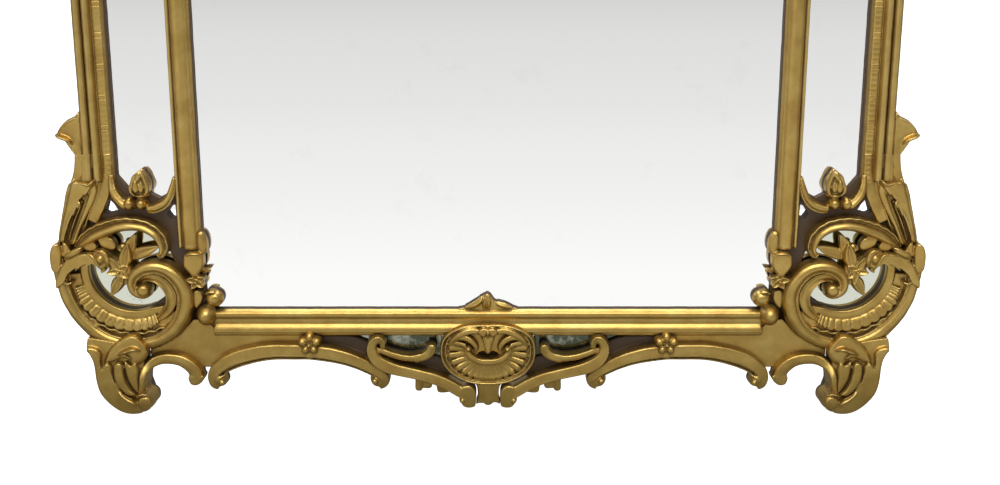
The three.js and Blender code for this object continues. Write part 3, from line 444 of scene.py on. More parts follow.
clear_mirror = mirror("silvered_plate_glass", "#fbfbfa", 60, "#8f8d80", 0.08)
old_mirror = mirror("foxed_old_mirror", "#d3d5c6", 12, "#55513f", 0.7)
dark_mirror = mirror("darkened_old_mirror", "#565a4c", 34, "#d9dccb", 0.9, 0.48)

# %% [markdown]
# The back is bare softwood: sawn pine boards, gone brown, with a plain grain that follows the
# board. The hangers are plated steel gone dull.

# %% Pine and steel
PINE_RING_MM = 9
STEEL_SPOT_MM = 5


def pine_board(name, grain_along):
    """Sawn softwood. The noise is stretched along the X or the Z axis, as the grain is."""
    made, tree, shader = material(name)
    place = node(tree, "ShaderNodeTexCoord").outputs["Object"]
    stretch = node(tree, "ShaderNodeMapping", Vector=place)
    stretch.inputs["Scale"].default_value = (1, 1, 0.06) if grain_along == "Z" else (0.06, 1, 1)
    rings = node(tree, "ShaderNodeTexNoise", Vector=stretch.outputs["Vector"], Scale=1000 / PINE_RING_MM,
                 Detail=5.0, Distortion=0.6)
    browns = [(0.3, "#7a5a34"), (0.5, "#a07d4c"), (0.65, "#b8935c"), (0.8, "#8a6a3e")]
    colour = ramp(tree, rings.outputs["Fac"], browns)
    tree.links.new(colour, shader.inputs["Base Color"])
    shader.inputs["Roughness"].default_value = 0.82
    saw = node(tree, "ShaderNodeBump", Strength=0.4, Distance=0.0005, Height=rings.outputs["Fac"])
    tree.links.new(saw.outputs["Normal"], shader.inputs["Normal"])
    return made


upright_pine = pine_board("sawn_pine_upright", "Z")
level_pine = pine_board("sawn_pine_level", "X")
steel, tree, shader = material("dull_plated_steel")
place = node(tree, "ShaderNodeTexCoord").outputs["Object"]
spots = node(tree, "ShaderNodeTexNoise", Vector=place, Scale=1000 / STEEL_SPOT_MM, Detail=4.0)
greys = ramp(tree, spots.outputs["Fac"], [(0.35, "#6d6a64"), (0.7, "#8f8c85")])
tree.links.new(greys, shader.inputs["Base Color"])
shader.inputs["Metallic"].default_value = 1.0
shader.inputs["Roughness"].default_value = 0.45


def dress(name, finish):
    """Gives a CAD node that stays its finish."""
    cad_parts[name].data.materials.clear()
    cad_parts[name].data.materials.append(finish)


dress("main_plate", clear_mirror)
dress("backboard_centre", upright_pine)
for name in ("base_batten", "upper_batten"):
    dress(name, level_pine)
for hand in ("_right", "_left"):
    dress("side_plate" + hand, clear_mirror)
    dress("corner_plate" + hand, old_mirror)
    dress("apron_plate" + hand, dark_mirror)
    dress("backboard_side" + hand, upright_pine)
    dress("hanger_strap" + hand, steel)
    dress("hanger_ring" + hand, steel)
print("finishes laid on the plates, the boards and the hangers")

# %% [markdown]
# ## The scroll corner
# Each corner is a block glued up behind the joint of stile and rail, pierced by a round opening of
# 118 mm. The block's outer edge follows the carving. Two small windows beside the bud show glass.

# %% Corner block
RING = (501, 207)
RING_RADIUS = 59
BLOCK_BACK = 14.3
BLOCK_FRONT = 36
OUTER_EDGE = [
    (558, 372), (567, 360), (570, 342), (573, 333), (579, 323), (583, 308), (588, 290), (593, 268),
    (599, 248), (606, 238), (609, 225), (610, 212), (607, 196), (603, 178), (598, 158), (591, 143),
    (583, 129), (575, 118), (566, 109)
]
LOWER_EDGE = [
    (545, 96), (520, 92), (500, 92), (478, 95), (455, 102), (440, 110), (430, 120), (423, 132), (415, 150),
    (400, 156)
]
UPPER_EDGE = [
    (400, 236), (434, 240), (434, 315), (440, 318), (457, 309), (470, 316), (488, 320), (500, 322),
    (513, 338), (519, 350), (519, 372)
]
WINDOW_OUTER = [(536, 287), (530, 285.5), (516, 290.5), (521, 299), (527, 306), (531, 302)]
WINDOW_INNER = [(436, 279), (443, 279), (448, 286), (442, 296), (436, 300)]

block = Clay()
opening = arc(RING, RING_RADIUS, 0, 355, steps=72)
edge = OUTER_EDGE + LOWER_EDGE + UPPER_EDGE
block.board(edge, BLOCK_BACK, BLOCK_FRONT, (opening, WINDOW_OUTER, WINDOW_INNER))
print("corner block: opening", 2 * RING_RADIUS, "mm across")

# %% [markdown]
# The stile's mouldings don't stop at the corner. They sweep outwards under the leaf and die into
# the crook: a roll on the outside, a bead, and the ribbed band, whose ribs fade out.

# %% Sweep of the stile into the corner
RIB_PITCH = 7


def ribbed(run, whole):
    """A flat band cut across into small ribs."""
    rib = 0.86 + 0.14 * abs(math.sin(math.pi * run / RIB_PITCH)) ** 0.6
    side = 0.86 * rib
    return [(-1, 0), (-1, 0.55), (-0.9, side), (-0.3, rib), (0.3, rib), (0.9, side), (1, 0.55), (1, 0)]


block.strip([
    (525.5, 372, 6, 43), (526, 350, 6, 43), (528.5, 335, 6.4, 43.5), (530.5, 326, 7, 44)
], ribbed, step=1.2)
block.strip([
    (530, 331, 7, 43.5), (532, 320, 8.4, 45), (535.6, 310, 8.8, 46), (541, 297, 8.4, 46.5),
    (547.5, 284, 7.6, 46.5), (551, 277, 7.4, 46.5)
], FLAT)
block.strip([
    (539.5, 372, 6, 47), (539.8, 345, 5, 47), (540.6, 328, 2.6, 48), (544, 314, 1.8, 49),
    (549, 300, 1.7, 49.5), (554.6, 286, 1.6, 49.5), (561, 270, 1.5, 49)
])
block.strip([(552, 372, 6, 49), (552.5, 352, 6.5, 49), (554, 336, 6.5, 49), (556, 328, 6, 49)], FLAT)
block.strip([(563, 372, 5, 48), (565, 352, 5.5, 48), (568, 338, 6, 48), (570, 328, 6, 48)], FLAT)
block.dome(572, 335, 4, 3.4, 54)
block.relief([
    (600, 250), (588, 240), (588, 200), (597, 160), (586, 140), (560, 112), (530, 104), (530, 96), (560, 100),
    (592, 136), (604, 170), (610, 212), (607, 238)
], 42)
block.relief([
    (566, 330), (548, 330), (537, 320), (545, 296), (560, 270), (572, 246), (598, 246), (590, 292), (582, 322)
], 41)
carve_pair("corner_block", block)

# %% [markdown]
# The corner's main line is one long roll. It starts under the leaf, runs round the outside and the
# bottom, climbs the inner side, turns over at the top and winds down to its eye. Inside it lie a
# fillet, a row of gadroons, which are short round lobes like cut pebbles, and a plain cove round
# the opening. Gadroons are separate masses here, because each one has its own light and shadow.

# %% Main scroll with its gadroons
MAIN_ROLL = [
    (-1, 0), (-1, 0.55), (-0.96, 0.8), (-0.87, 0.88), (-0.77, 0.8), (-0.66, 0.8), (-0.45, 0.93), (-0.1, 1),
    (0.35, 0.98), (0.7, 0.88), (0.92, 0.65), (1, 0.35), (1, 0)
]
FOLD = [
    (-1, 0), (-1, 0.7), (-0.8, 0.84), (-0.35, 0.74), (0.2, 0.76), (0.6, 0.88), (0.86, 0.98), (1, 0.8), (1, 0)
]
scroll = Clay()
scroll.strip([
    (603, 240, 4, 50), (601.5, 226, 8, 55), (600.5, 208, 9.4, 57), (597, 187, 9.4, 58), (591.5, 166, 9.4, 58),
    (583, 148, 9.4, 58), (572, 133, 9.2, 58), (559, 119.5, 9.2, 57), (544, 109, 9.2, 57), (527, 102, 9.2, 57),
    (508, 98.5, 9.2, 57), (489, 99.5, 9.4, 57), (471, 104, 9.8, 58), (455, 112.5, 10.3, 59),
    (441, 125.5, 11, 60), (430.5, 143, 11.5, 60.5), (425.5, 163, 11.5, 61), (427.5, 181, 11, 62),
    (435.5, 196.5, 10.5, 63), (447.5, 208, 10, 64), (462, 213.5, 9.5, 64.5), (477, 212.5, 9, 64.5),
    (489, 206.5, 8.6, 64), (497.5, 197.5, 8, 63), (499.5, 187, 7.2, 62), (496.5, 178, 6.5, 61),
    (489, 172.5, 5.5, 60), (481, 171.5, 4.5, 59), (475, 174.5, 3, 57)
], MAIN_ROLL)
scroll.dome(483, 180, 10.5, 10.5, 64, swell=3.4)
scroll.strip([
    (491.5, 185, 3, 49), (489, 192.5, 4, 51), (482, 196.5, 5, 52.5), (472.5, 197, 5.8, 53.5),
    (463, 194, 6.6, 54), (454.5, 187, 7.4, 54), (448.5, 178, 8, 54), (446, 167, 8, 53.5), (449, 155, 7.4, 52),
    (457, 144, 6, 50), (467, 136, 4, 48)
], FOLD)
cove = arc(RING, 65.6, 14, -112, 6.2, 48, steps=36)
cove += arc(RING, 68, -121, -122, 4.6, 47, steps=1) + arc(RING, 70.5, -131, -132, 2.6, 46, steps=1)
scroll.strip(cove, FLAT)
scroll.strip(arc(RING, 86, -4, -133, 16, 44.5, steps=36), FLAT)

# The gadroons are narrow under the hook, broad at the bottom, and narrow again where the fold ends.
GADROON_SPANS = (2.8, 2.8, 3.2, 4, 6, 7.5, 8.5, 9, 9.6, 9.6, 9, 8, 6.5, 5, 4, 3)
GADROON_START = -17
GADROON_GAP = 0.45


def at_ring(radius, angle, *columns):
    """A point round the opening, with further columns."""
    turn = math.radians(angle)
    return (RING[0] + radius * math.cos(turn), RING[1] + radius * math.sin(turn), *columns)


angle = GADROON_START
for span in GADROON_SPANS:
    near, far = angle - GADROON_GAP, angle - span + GADROON_GAP
    middle = (near + far) / 2
    long = min(1, span / 6)
    outer = 80 + 8 * long
    scroll.relief([
        at_ring(72.5, near, -2.5), at_ring(80, near, 0.5), at_ring(outer - 1.5, near, 1.5),
        at_ring(outer + 0.6, middle, 2), at_ring(outer - 1.5, far, 1.5), at_ring(80, far, 0.5),
        at_ring(72.5, far, -2.5), at_ring(72, middle, -2)
    ], 51.5, 42, soft=min(2.2, span * 0.5))
    angle -= span

# A thin wavy line closes the row on the outside, and fades out at both ends.
WAVES_ROUND = 36
wavy = []
for a in np.linspace(-10, -128, 90):
    ease = max(0.3, min(1, (a + 130) / 14, (-8 - a) / 12))
    wavy.append(at_ring(92.5 + 1.0 * math.sin(math.radians(a) * WAVES_ROUND), a, 2.5 * ease, 45 + 6 * ease))
scroll.strip(wavy)
carve_pair("corner_scroll", scroll, voxel=1.0, smooth=2)

# %% [markdown]
# A C-scroll arches over the opening, with a scalloped rim like the edge of a shell and a hollow
# inside it. It ends in a small curl over the main scroll.

# %% Crook over the opening
SCALLOP_PITCH = 13
crook = Clay()


def scalloped(run, whole):
    """A thin wavy rim, a hollow, and a plain roll on the inner side."""
    wave = 0.1 * abs(math.sin(math.pi * run / SCALLOP_PITCH)) - 0.05
    rim = -1 - wave
    return [
        (rim, 0), (rim, 0.6), (rim + 0.06, 0.85), (rim + 0.2, 0.93), (rim + 0.36, 0.8), (rim + 0.46, 0.6),
        (-0.4, 0.58), (-0.25, 0.74), (0, 0.9), (0.35, 1), (0.7, 0.92), (0.92, 0.7), (1, 0.4), (1, 0)
    ]


crook.strip([
    (575, 238, 5, 49), (565, 249, 8.5, 54), (553, 257.5, 10.5, 56), (540, 264, 11.4, 57), (527, 269, 11, 58),
    (514, 272.8, 10.5, 58.5), (500, 274.5, 10, 59), (486, 273.5, 9.6, 59), (473, 269.5, 9.4, 59),
    (462, 262, 9, 59), (455, 252, 8.4, 58.5), (452.5, 241, 7, 58), (453.5, 233.5, 5.5, 57.5),
    (457.5, 230.5, 4, 57), (460.5, 233.5, 3, 56)
], scalloped, step=1.2)
crook.relief([(556, 250), (546, 244), (549, 236), (560, 236), (568, 244)], 52)
crook.relief([
    (543, 252), (536, 255), (526, 255), (520, 248), (519, 240), (524, 236.5), (531, 238), (540, 243)
], 52, soft=3)
carve_pair("corner_crook", crook)

# %% [markdown]
# An acanthus leaf grows down the outer edge. Each of its fingers is a blade with a ridge along the
# middle. At its foot two lobes fold in over the gadroons, and a third curls back on itself.

# %% Leaf on the outer edge
BLADE = [
    (-1, 0), (-1, 0.4), (-0.75, 0.66), (-0.4, 0.86), (-0.08, 1), (0.12, 1), (0.45, 0.8), (0.8, 0.62),
    (1, 0.4), (1, 0)
]
leaf = Clay()
leaf.relief([
    (577, 332), (566, 333), (560, 322), (566, 303), (574, 292), (583, 275.5), (588, 260), (590, 250),
    (599, 250, -2), (597, 262), (591, 287), (586, 308), (583, 320, -1)
], 51.5, 40, soft=3)
leaf.relief([
    (571, 334), (560, 334, 1), (552, 332, 2), (546, 334, 3), (541, 337, 3), (542, 331, 3), (547, 325, 2),
    (552, 318.5, 1), (559, 313), (566, 307.5), (566, 302), (574, 291), (582.5, 275.5), (588.5, 259),
    (590.5, 250), (594.5, 251), (591.5, 267), (587, 284), (582, 301), (577, 318)
], 56.5, 40, soft=2.6)
leaf.strip([
    (566, 303.5, 1, 57), (573.4, 292.5, 1.4, 58.5), (581.6, 277, 1.4, 58.5), (587.4, 260.5, 1.2, 58),
    (589.6, 251, 1, 56.5)
], back=50)
leaf.strip([
    (562, 333.5, 1.2, 58), (555, 332.5, 1.8, 60.5), (549, 331, 2.2, 62), (545, 333.5, 2, 62),
    (541, 337.5, 1, 60)
], back=50)
leaf.strip([
    (562, 306, 2.4, 45), (568.6, 292, 3, 47), (576, 276, 3.4, 48), (582.6, 259, 3, 47), (586, 249, 2, 46)
], BLADE)
leaf.relief([
    (551, 317), (546, 325, 1), (541, 332, 1), (539.5, 322), (545, 306), (553, 292), (560, 279), (567, 266),
    (575, 248), (580, 246), (573, 264), (566, 279), (561, 290), (556, 302), (553, 311)
], 53, 40, soft=2)
leaf.strip([(566, 308, 2, 57), (563, 304, 2, 60), (566, 300, 1.4, 57)], back=50)
leaf.relief([
    (599, 247.5, 1), (605, 245, 2), (610, 235), (611, 222), (609.5, 210), (603, 204), (597, 210),
    (594.5, 224), (594.5, 237), (596, 245)
], 58, 40, soft=3)
leaf.relief([(593, 246), (588, 247, 1), (584, 239), (585, 229), (592, 228)], 54, 40)
leaf.strip([
    (589, 225.5, 2.4, 60), (583, 231.5, 3.4, 65), (576, 236.5, 3.2, 67), (569, 240.5, 2.4, 67),
    (563, 243.5, 1, 65)
], FLAT, 50)
leaf.strip([(586, 224.5, 2.2, 60), (578, 231, 2.4, 66), (570, 235.5, 2, 67), (564, 239, 1, 65)], back=50)
leaf.relief([
    (603, 198), (596, 213), (589, 222.5), (580, 229), (569, 233, 1), (557, 234.5, 1.5), (549, 232.5, 2),
    (544, 225.5, 3), (539.5, 217.5, 4), (546, 217.5, 3), (551, 220.5, 1), (559, 218.5), (569, 215.5),
    (578, 211), (586, 204.5), (590.5, 196), (596, 189), (604, 184)
], 62, 40, soft=3)
leaf.strip([
    (556, 234.5, 1.2, 64), (549, 232, 2, 67), (544.5, 225.5, 2.2, 68), (540, 218, 1.2, 67)
], back=52)
leaf.strip([(597, 195, 3, 57), (592, 191, 3.2, 60), (586.5, 190, 3, 61), (582, 192.5, 1.8, 59)], back=42)
leaf.strip([(592, 186, 2, 55), (588, 178, 2, 56), (587, 168, 1.6, 55)], back=42)
carve_pair("corner_leaf", leaf, smooth=2)

# %% [markdown]
# A spray of flowers crosses the opening: a half-open rosebud, a star-shaped flower with pointed
# petals, and leaves. On the real piece it is carved separately and glued to the scroll.

# %% Spray in the opening
PETAL = [
    (-1, 0), (-1, 0.62), (-0.7, 0.92), (-0.35, 0.84), (0, 0.7), (0.35, 0.84), (0.7, 0.92), (1, 0.62), (1, 0)
]


def petal(clay, root, tip, half, front, back=44, lift=0):
    """A pointed petal with a crease along the middle. lift raises its tip."""
    way = np.array(tip, float) - np.array(root, float)
    spots = [(0, 0.55, -2), (0.3, 1, 0), (0.6, 0.86, lift * 0.6), (0.85, 0.45, lift * 0.9), (1, 0.12, lift)]
    clay.strip([(*(np.array(root) + way * share), half * wide, front + rise) for share, wide, rise in spots],
               PETAL, back)


spray = Clay()
STAR = (516, 207)
star_tips = [(526, 228, 6.5), (502, 215, 6.5), (503, 198, 6.5), (512, 188, 5.5), (532, 206, 6.5)]
for u, z, half in star_tips:
    petal(spray, STAR, (u, z), half, 59, lift=2)
spray.dome(*STAR, 4, 4, 63)
petal(spray, (514, 199), (529, 172), 8.5, 56, lift=1)
spray.strip([(505, 188, 6, 54), (505, 200, 7, 55), (506, 212, 6, 55), (507, 224, 5, 55)], FLAT, 44)
petal(spray, (509, 214), (501, 247), 9.5, 60, lift=1)
petal(spray, (508, 228), (491, 259), 9, 53, lift=-1)
spray.dome(510, 242, 4.5, 5, 53, back=44)
petal(spray, (502, 226), (459, 242), 8, 50, lift=2)
spray.relief([
    (550, 236), (543, 239), (533, 237), (528, 230), (529, 220), (533, 213), (540, 209.5), (546, 214),
    (551, 225)
], 58, 44, soft=5)
spray.dome(540, 225, 8, 10, 64, back=50, lean=20)
spray.strip([
    (532, 214, 2, 58), (529.5, 222, 3, 62), (531, 231, 3.4, 63), (537, 237, 3, 62), (545, 237, 1.6, 59)
], FLAT, 46)
petal(spray, (536, 214), (541, 205), 4, 57)
petal(spray, (524, 224), (529, 210), 5, 57)
carve_pair("corner_spray", spray, voxel=0.9, smooth=2)

# %% [markdown]
# At the foot of the margin plate a rosebud stands between two little scrolls. Its outer petals are
# folded strips that lean over a plain core and meet at the tip.

# %% Bud on two scrolls
ON_GLASS = 30.7
BUD_MIDDLE, BUD_FOOT = 481, 312
BUD_WIDE, BUD_HIGH = 0.78, 0.82


def bud_outline(points):
    """An outline drawn on a larger bud, made narrower and lower to fit between the scrolls."""
    return [
        (BUD_MIDDLE + BUD_WIDE * (u - BUD_MIDDLE), BUD_FOOT + BUD_HIGH * (z - BUD_FOOT))
        for u, z in points
    ]


bud = Clay()
bud.dome(481, 327.6, 12.5, 15.6, 51, back=ON_GLASS, swell=2.6, point=0.22)
bud.relief(bud_outline([
    (478, 359), (487, 352), (495, 342), (500, 330), (498, 318), (490, 312), (478, 312), (467, 317),
    (463, 328), (465, 341), (471, 351)
]), 46, ON_GLASS, soft=6)
bud.relief(bud_outline([
    (496, 338), (492, 348), (483, 355), (487, 344), (492, 334), (493, 322), (488, 314), (497, 319), (500, 328)
]), 53, 40, soft=2.4)
bud.relief(bud_outline([
    (467, 340), (471, 350), (478, 357), (475, 345), (471, 334), (471, 322), (476, 313), (467, 318), (463, 328)
]), 53, 40, soft=2.4)
bud.relief(bud_outline([
    (486, 343), (491.5, 333), (491, 325), (486.5, 321), (481.5, 325), (481.5, 334)
]), 57, 40, soft=3)
bud.relief(bud_outline([(480, 356), (486, 347), (483, 341), (478, 345), (476, 350)]), 55, 40, soft=2)
bud.relief(bud_outline([(478, 340), (481, 330), (479, 321), (474, 324), (473, 333)]), 54, 40, soft=2)
bud.strip([(492, 316, 3, 45), (482, 313.5, 4, 52), (470, 315, 3, 48)], back=ON_GLASS)
bud.strip([(483, 313, 4, 46), (485, 304, 4, 47), (486, 294, 3, 45)], back=ON_GLASS)
bud.strip([
    (522, 342, 3.5, 44), (521, 328, 5, 48), (518, 317, 6, 51), (512, 307.5, 6.6, 53), (505, 301, 6.8, 54),
    (498, 299, 5, 54)
], MAIN_ROLL, ON_GLASS)
bud.dome(497, 302, 8.6, 9.6, 57, back=ON_GLASS, swell=2.8)
bud.strip([
    (434, 338, 3.5, 44), (436.5, 325, 5, 48), (441, 312, 6, 52), (449.5, 302, 7, 53), (461, 296.5, 7, 54),
    (472, 295.5, 5.6, 53)
], MAIN_ROLL, ON_GLASS)
bud.dome(480, 302, 8.2, 9, 57, back=ON_GLASS, swell=2.8)
carve_pair("bud", bud, voxel=0.95, smooth=2)

# %% [markdown]
# Over the mitre of stile and rail hangs a drop of beads: a boss with a rounded brow, a small
# flower, a leaf, a berry that lies on the glass, and a round bead on the corner of the rail.

# %% Bead drop
drop = Clay()
drop.relief([
    (425, 227), (425, 214), (420, 205), (412.5, 198), (405, 203), (399, 213), (397.5, 226), (402, 232),
    (412, 233), (421, 231)
], 55, soft=4)
drop.strip([
    (425, 228, 1.6, 53), (419, 231.5, 2.6, 58), (412, 233, 3, 59), (405, 232, 2.6, 58), (399.5, 229, 1.6, 53)
])
drop.relief([
    (406, 260), (399, 261), (394, 253), (392.5, 242), (395, 232), (402, 227), (407, 240)
], 48, ON_GLASS, soft=5)
petal(drop, (403, 203), (390.5, 208.5), 3.4, 46, ON_GLASS)
BLOSSOM = (409.5, 192)
FIVE_PETALS = 5
for turn in range(FIVE_PETALS):
    angle = math.radians(12 + 360 * turn / FIVE_PETALS)
    tip = (BLOSSOM[0] + 13.5 * math.cos(angle), BLOSSOM[1] + 12 * math.sin(angle))
    petal(drop, BLOSSOM, tip, 6, 55, 36, lift=2)
drop.dome(*BLOSSOM, 3.6, 3.6, 61)
drop.relief([(414.5, 176), (408, 178), (403, 172), (404, 162), (412, 152), (415.5, 162)], 51, soft=2.4)
drop.dome(388, 164, 13.5, 13, 52, back=ON_GLASS, swell=2.4)
drop.strip([(399, 172, 2, 50), (393, 176, 2.4, 53), (385, 175, 2, 52)], back=ON_GLASS)
drop.dome(399, 140.5, 13.8, 15.5, 64, swell=2.2)
drop.strip([(416.5, 190, 2, 42), (417, 172, 2.4, 43), (415.5, 156, 2, 43)])
drop.relief([(398, 128), (384, 122), (381, 134), (390, 147), (402, 150)], 40, 24)
carve_pair("bead_drop", drop, voxel=0.95, smooth=2)

# %% [markdown]
# ## Feet and apron
# The foot is a block carved as a scroll: a broad roll down the outside ends in the toe, two flutes
# run beside it, and a leaf tip like a knuckle covers the joint with the corner.

# %% Foot
FOOT_BACK = 20
FOOT_FRONT = 62
foot = Clay()
foot.board([
    (565, 112), (567, 103), (568, 92), (564, 87), (559, 82), (556, 75), (554.5, 64), (553.5, 49), (549.5, 32),
    (539.5, 17), (527, 6), (513, 0.6), (500, 0.3), (490, 1.5), (484, 5), (481, 12), (484, 30), (489, 46),
    (490, 60), (488, 76), (490, 98), (520, 104)
], FOOT_BACK, FOOT_FRONT)
foot.relief([
    (565, 100), (562, 90), (558, 80), (556, 66), (555, 50), (551, 33), (541, 18), (528, 7), (514, 1),
    (500, 0.6), (492, 3), (489, 10), (496, 16), (504, 20.5), (512, 27), (521, 37), (529, 50), (531.5, 62),
    (532.5, 72), (539, 77), (545, 68), (547, 78), (546, 90), (552, 98)
], 72, 50, soft=4)
foot.strip([
    (528, 40, 1.4, 70), (520, 31, 2.2, 75.5), (512, 24.5, 3, 78), (503, 19, 3.4, 78.5), (499, 15, 2, 76)
], back=60)
foot.relief([
    (528.5, 66), (527, 75), (521, 78.5), (516, 75), (515.2, 63), (512.5, 50), (507, 38.5), (500.5, 31),
    (508, 29.5), (518, 37), (525.5, 48), (528.5, 59)
], 75, 54, soft=3.2)
foot.relief([
    (512, 79), (505, 74), (498, 77), (494.5, 68), (495.5, 54), (495, 42), (497, 33), (503.5, 39.5), (509, 50),
    (512, 62), (513, 72)
], 72, 54, soft=3)
foot.dome(486.5, 20, 12.4, 13, 80, back=30, swell=4.5)
foot.strip([(498, 28, 1.4, 76), (493, 32, 1.8, 81), (486, 33, 2, 81), (479, 30.5, 1.4, 78)], back=60)
foot.relief([
    (542, 78), (538, 88), (533, 97.5), (524, 106), (514, 113), (504, 117), (495, 115), (487, 106), (481, 97),
    (480.5, 89), (486, 80), (494, 75), (502, 73), (505, 80), (512, 84), (519, 84), (527, 80.5), (535, 77)
], 69, 50, soft=5)
foot.strip([
    (522, 88.5, 1.6, 70), (516, 92.5, 2.6, 76), (511, 95, 3.2, 78.5), (506, 96.6, 3.2, 79),
    (501, 98.6, 3.2, 80), (495.5, 98.5, 2.8, 79), (490, 96, 1.4, 73)
], back=60)
foot.strip([(513, 93, 2, 74), (508.5, 88, 2.4, 75), (503.5, 85, 2, 73)], back=60)
carve_pair("foot", foot, voxel=1.1, smooth=2)

# %% [markdown]
# The apron is a thin board under the bottom rail, pierced and carved: a short and a long arch on
# each side, a rosette, and an S-scroll that swings to the shell in the middle.

# %% Arches, panel and rosette
APRON_BACK = 26
APRON_GROUND = 38
short_arch = Clay()
short_arch.strip([
    (494, 28, 4, 73), (490.5, 42, 4.8, 74), (489.5, 53.5, 5.2, 73), (487, 62.6, 6, 68), (481, 70, 7, 60),
    (471, 75.1, 7.8, 55), (459, 77, 8.2, 54), (446, 76, 8.5, 54), (433.5, 71.6, 9, 54), (423, 63, 9.5, 54),
    (417.5, 53.7, 9.8, 54), (416.5, 45.8, 9, 54)
], FLAT, APRON_BACK + 2)
short_arch.relief([(407, 52), (408.5, 43.5), (417, 37.5), (426, 40), (427, 52)], 54, APRON_BACK + 2)
carve_pair("foot_arch", short_arch)

long_arch = Clay()
RIDGED = [
    (-1, 0), (-1, 0.6), (-0.95, 0.8), (-0.85, 0.9), (-0.5, 0.93), (0, 0.95), (0.26, 0.97), (0.36, 1),
    (0.44, 0.95), (0.49, 0.72), (0.58, 0.64), (0.68, 0.7), (0.8, 0.8), (0.92, 0.76), (1, 0.5), (1, 0)
]
long_arch.strip([
    (385, 35.5, 7, 52), (391.5, 39.5, 8.5, 53), (392, 49.3, 10, 54), (386, 59, 12, 55), (374, 68.6, 13, 56),
    (358, 76, 13.5, 56.5), (338, 82, 13.5, 57), (316, 86, 13, 57), (295, 87, 12.6, 57), (272, 87, 12.4, 57),
    (250, 86, 12.2, 57), (228, 83, 12, 57), (208, 78.5, 11.6, 56.5), (189, 71.8, 11, 56),
    (172, 63.5, 10.4, 55), (159, 55.8, 9.8, 54), (150.5, 48.4, 9, 54), (150, 40.5, 8, 53),
    (157, 35.5, 6.5, 52)
], RIDGED, APRON_BACK)
long_arch.strip([
    (264, 101, 5, 33), (240, 100, 7, 33), (215, 98, 9, 33), (193, 94, 11, 33), (172, 84, 13, 33)
], FLAT, APRON_BACK)
long_arch.dome(386, 43.5, 12.5, 11.5, 52, back=APRON_BACK, swell=3.4)
long_arch.dome(380.5, 41.5, 6.4, 6.4, 57, back=APRON_BACK, swell=3)
long_arch.strip([(376, 52.1, 1.6, 50), (383.5, 48.9, 2.2, 55.5), (388.5, 42.5, 2, 55)], FLAT)
long_arch.dome(157, 44, 13, 12.5, 52, back=APRON_BACK, swell=3.4)
long_arch.dome(162, 44, 7, 6.6, 57, back=APRON_BACK, swell=3)
carve_pair("apron_arch", long_arch)

panel = Clay()
panel.board([
    (258, 115.5), (387, 115.5), (400, 130), (420, 132), (430, 121), (440, 110), (455, 100), (470, 92),
    (484, 88), (484, 74), (470, 80), (452, 83), (434, 79), (420, 70), (410, 60), (398, 60), (390, 64),
    (376, 74), (350, 86), (320, 94), (290, 97), (258, 98)
], APRON_BACK, APRON_GROUND)
carve_pair("spandrel", panel)

rosette = Clay()
ROSETTE = (253, 100.5)
for turn in range(FIVE_PETALS):
    angle = math.radians(90 + 360 * turn / FIVE_PETALS)
    rosette.dome(ROSETTE[0] + 10 * math.cos(angle), ROSETTE[1] + 10 * math.sin(angle), 6.8, 7.8, 62, back=44,
                 lean=math.degrees(angle) - 90, swell=2.6)
rosette.dome(*ROSETTE, 11, 11, 57, back=APRON_GROUND)
rosette.dome(*ROSETTE, 3.6, 3.6, 65, back=50)
rosette.strip([(263, 88, 4, 53), (254, 83.5, 5, 57), (243, 88, 4, 53)], FLAT, 44)
carve_pair("arch_rosette", rosette, voxel=0.8, smooth=2)

# %% [markdown]
# The S-scroll is the longest line of the apron. It hooks over a small C-scroll under the rail,
# runs down to the foot of the shell and ends in a curl. A leaf sprig hangs from its lower edge.

# %% S-scroll with its small C-scroll and sprig
s_scroll = Clay()
S_FACE = [
    (-1, 0), (-1, 0.6), (-0.95, 0.8), (-0.85, 0.9), (-0.5, 0.94), (0, 0.96), (0.45, 0.97), (0.62, 1),
    (0.76, 0.97), (0.88, 0.8), (1, 0.5), (1, 0)
]
s_scroll.strip([
    (150, 93, 4, 53), (150.5, 102, 5.5, 55), (156, 106.5, 6.4, 57), (163, 102, 7, 58), (166, 92, 7.6, 58),
    (162.5, 80, 8.6, 58), (152, 70, 9.6, 58), (137, 63, 9.4, 58), (118, 58, 8.8, 58), (98, 53.5, 8.6, 58),
    (78, 47.5, 8.8, 58), (60, 40, 9, 58), (44, 30.5, 9.2, 58), (33, 24, 9.6, 58), (28.5, 17, 9, 57)
], S_FACE, APRON_BACK)
s_scroll.relief([
    (41, 27), (40, 17), (36.5, 8), (30, 4.8), (19.5, 6.3), (17.4, 14.8), (17.4, 25.5), (21, 34), (28, 38),
    (38, 36)
], 57, APRON_BACK)
s_scroll.dome(37, 15.5, 4.6, 4.6, 60, back=44, swell=3)
s_scroll.strip([
    (162, 91, 3, 50), (150, 88, 4.4, 52), (138, 83, 4.8, 52), (124, 79, 4.8, 52), (109, 77.5, 5, 52),
    (95, 79.5, 5.8, 52)
], FLAT, APRON_BACK)
s_scroll.relief([
    (104, 81), (96, 84), (89, 89), (86, 96, 1), (81, 99, 2), (75.5, 96.5, 2), (74, 88), (81, 79), (93, 73.5),
    (105, 72.5)
], 52, APRON_BACK)
s_scroll.strip([
    (158, 88, 7, 33), (140, 80, 8, 33), (120, 73, 9, 33), (100, 67, 10, 33), (84, 64, 13, 33),
    (66, 58, 13, 33), (54, 50, 9, 33)
], FLAT, APRON_BACK)
s_scroll.relief([
    (104, 51), (104.5, 41), (104, 28.5), (96.5, 27), (93, 31.5), (87, 30.5), (81, 33), (82, 47)
], 48, APRON_BACK + 4, soft=3)
s_scroll.strip([(97, 45, 1.6, 49), (95, 38, 2, 50.5), (91, 32, 1.4, 49)], back=44)
s_scroll.relief([
    (84, 43), (76, 37), (74, 28), (72, 22.5), (63, 21.5), (53, 24.5), (56, 35), (70, 45)
], 41, APRON_BACK + 4)
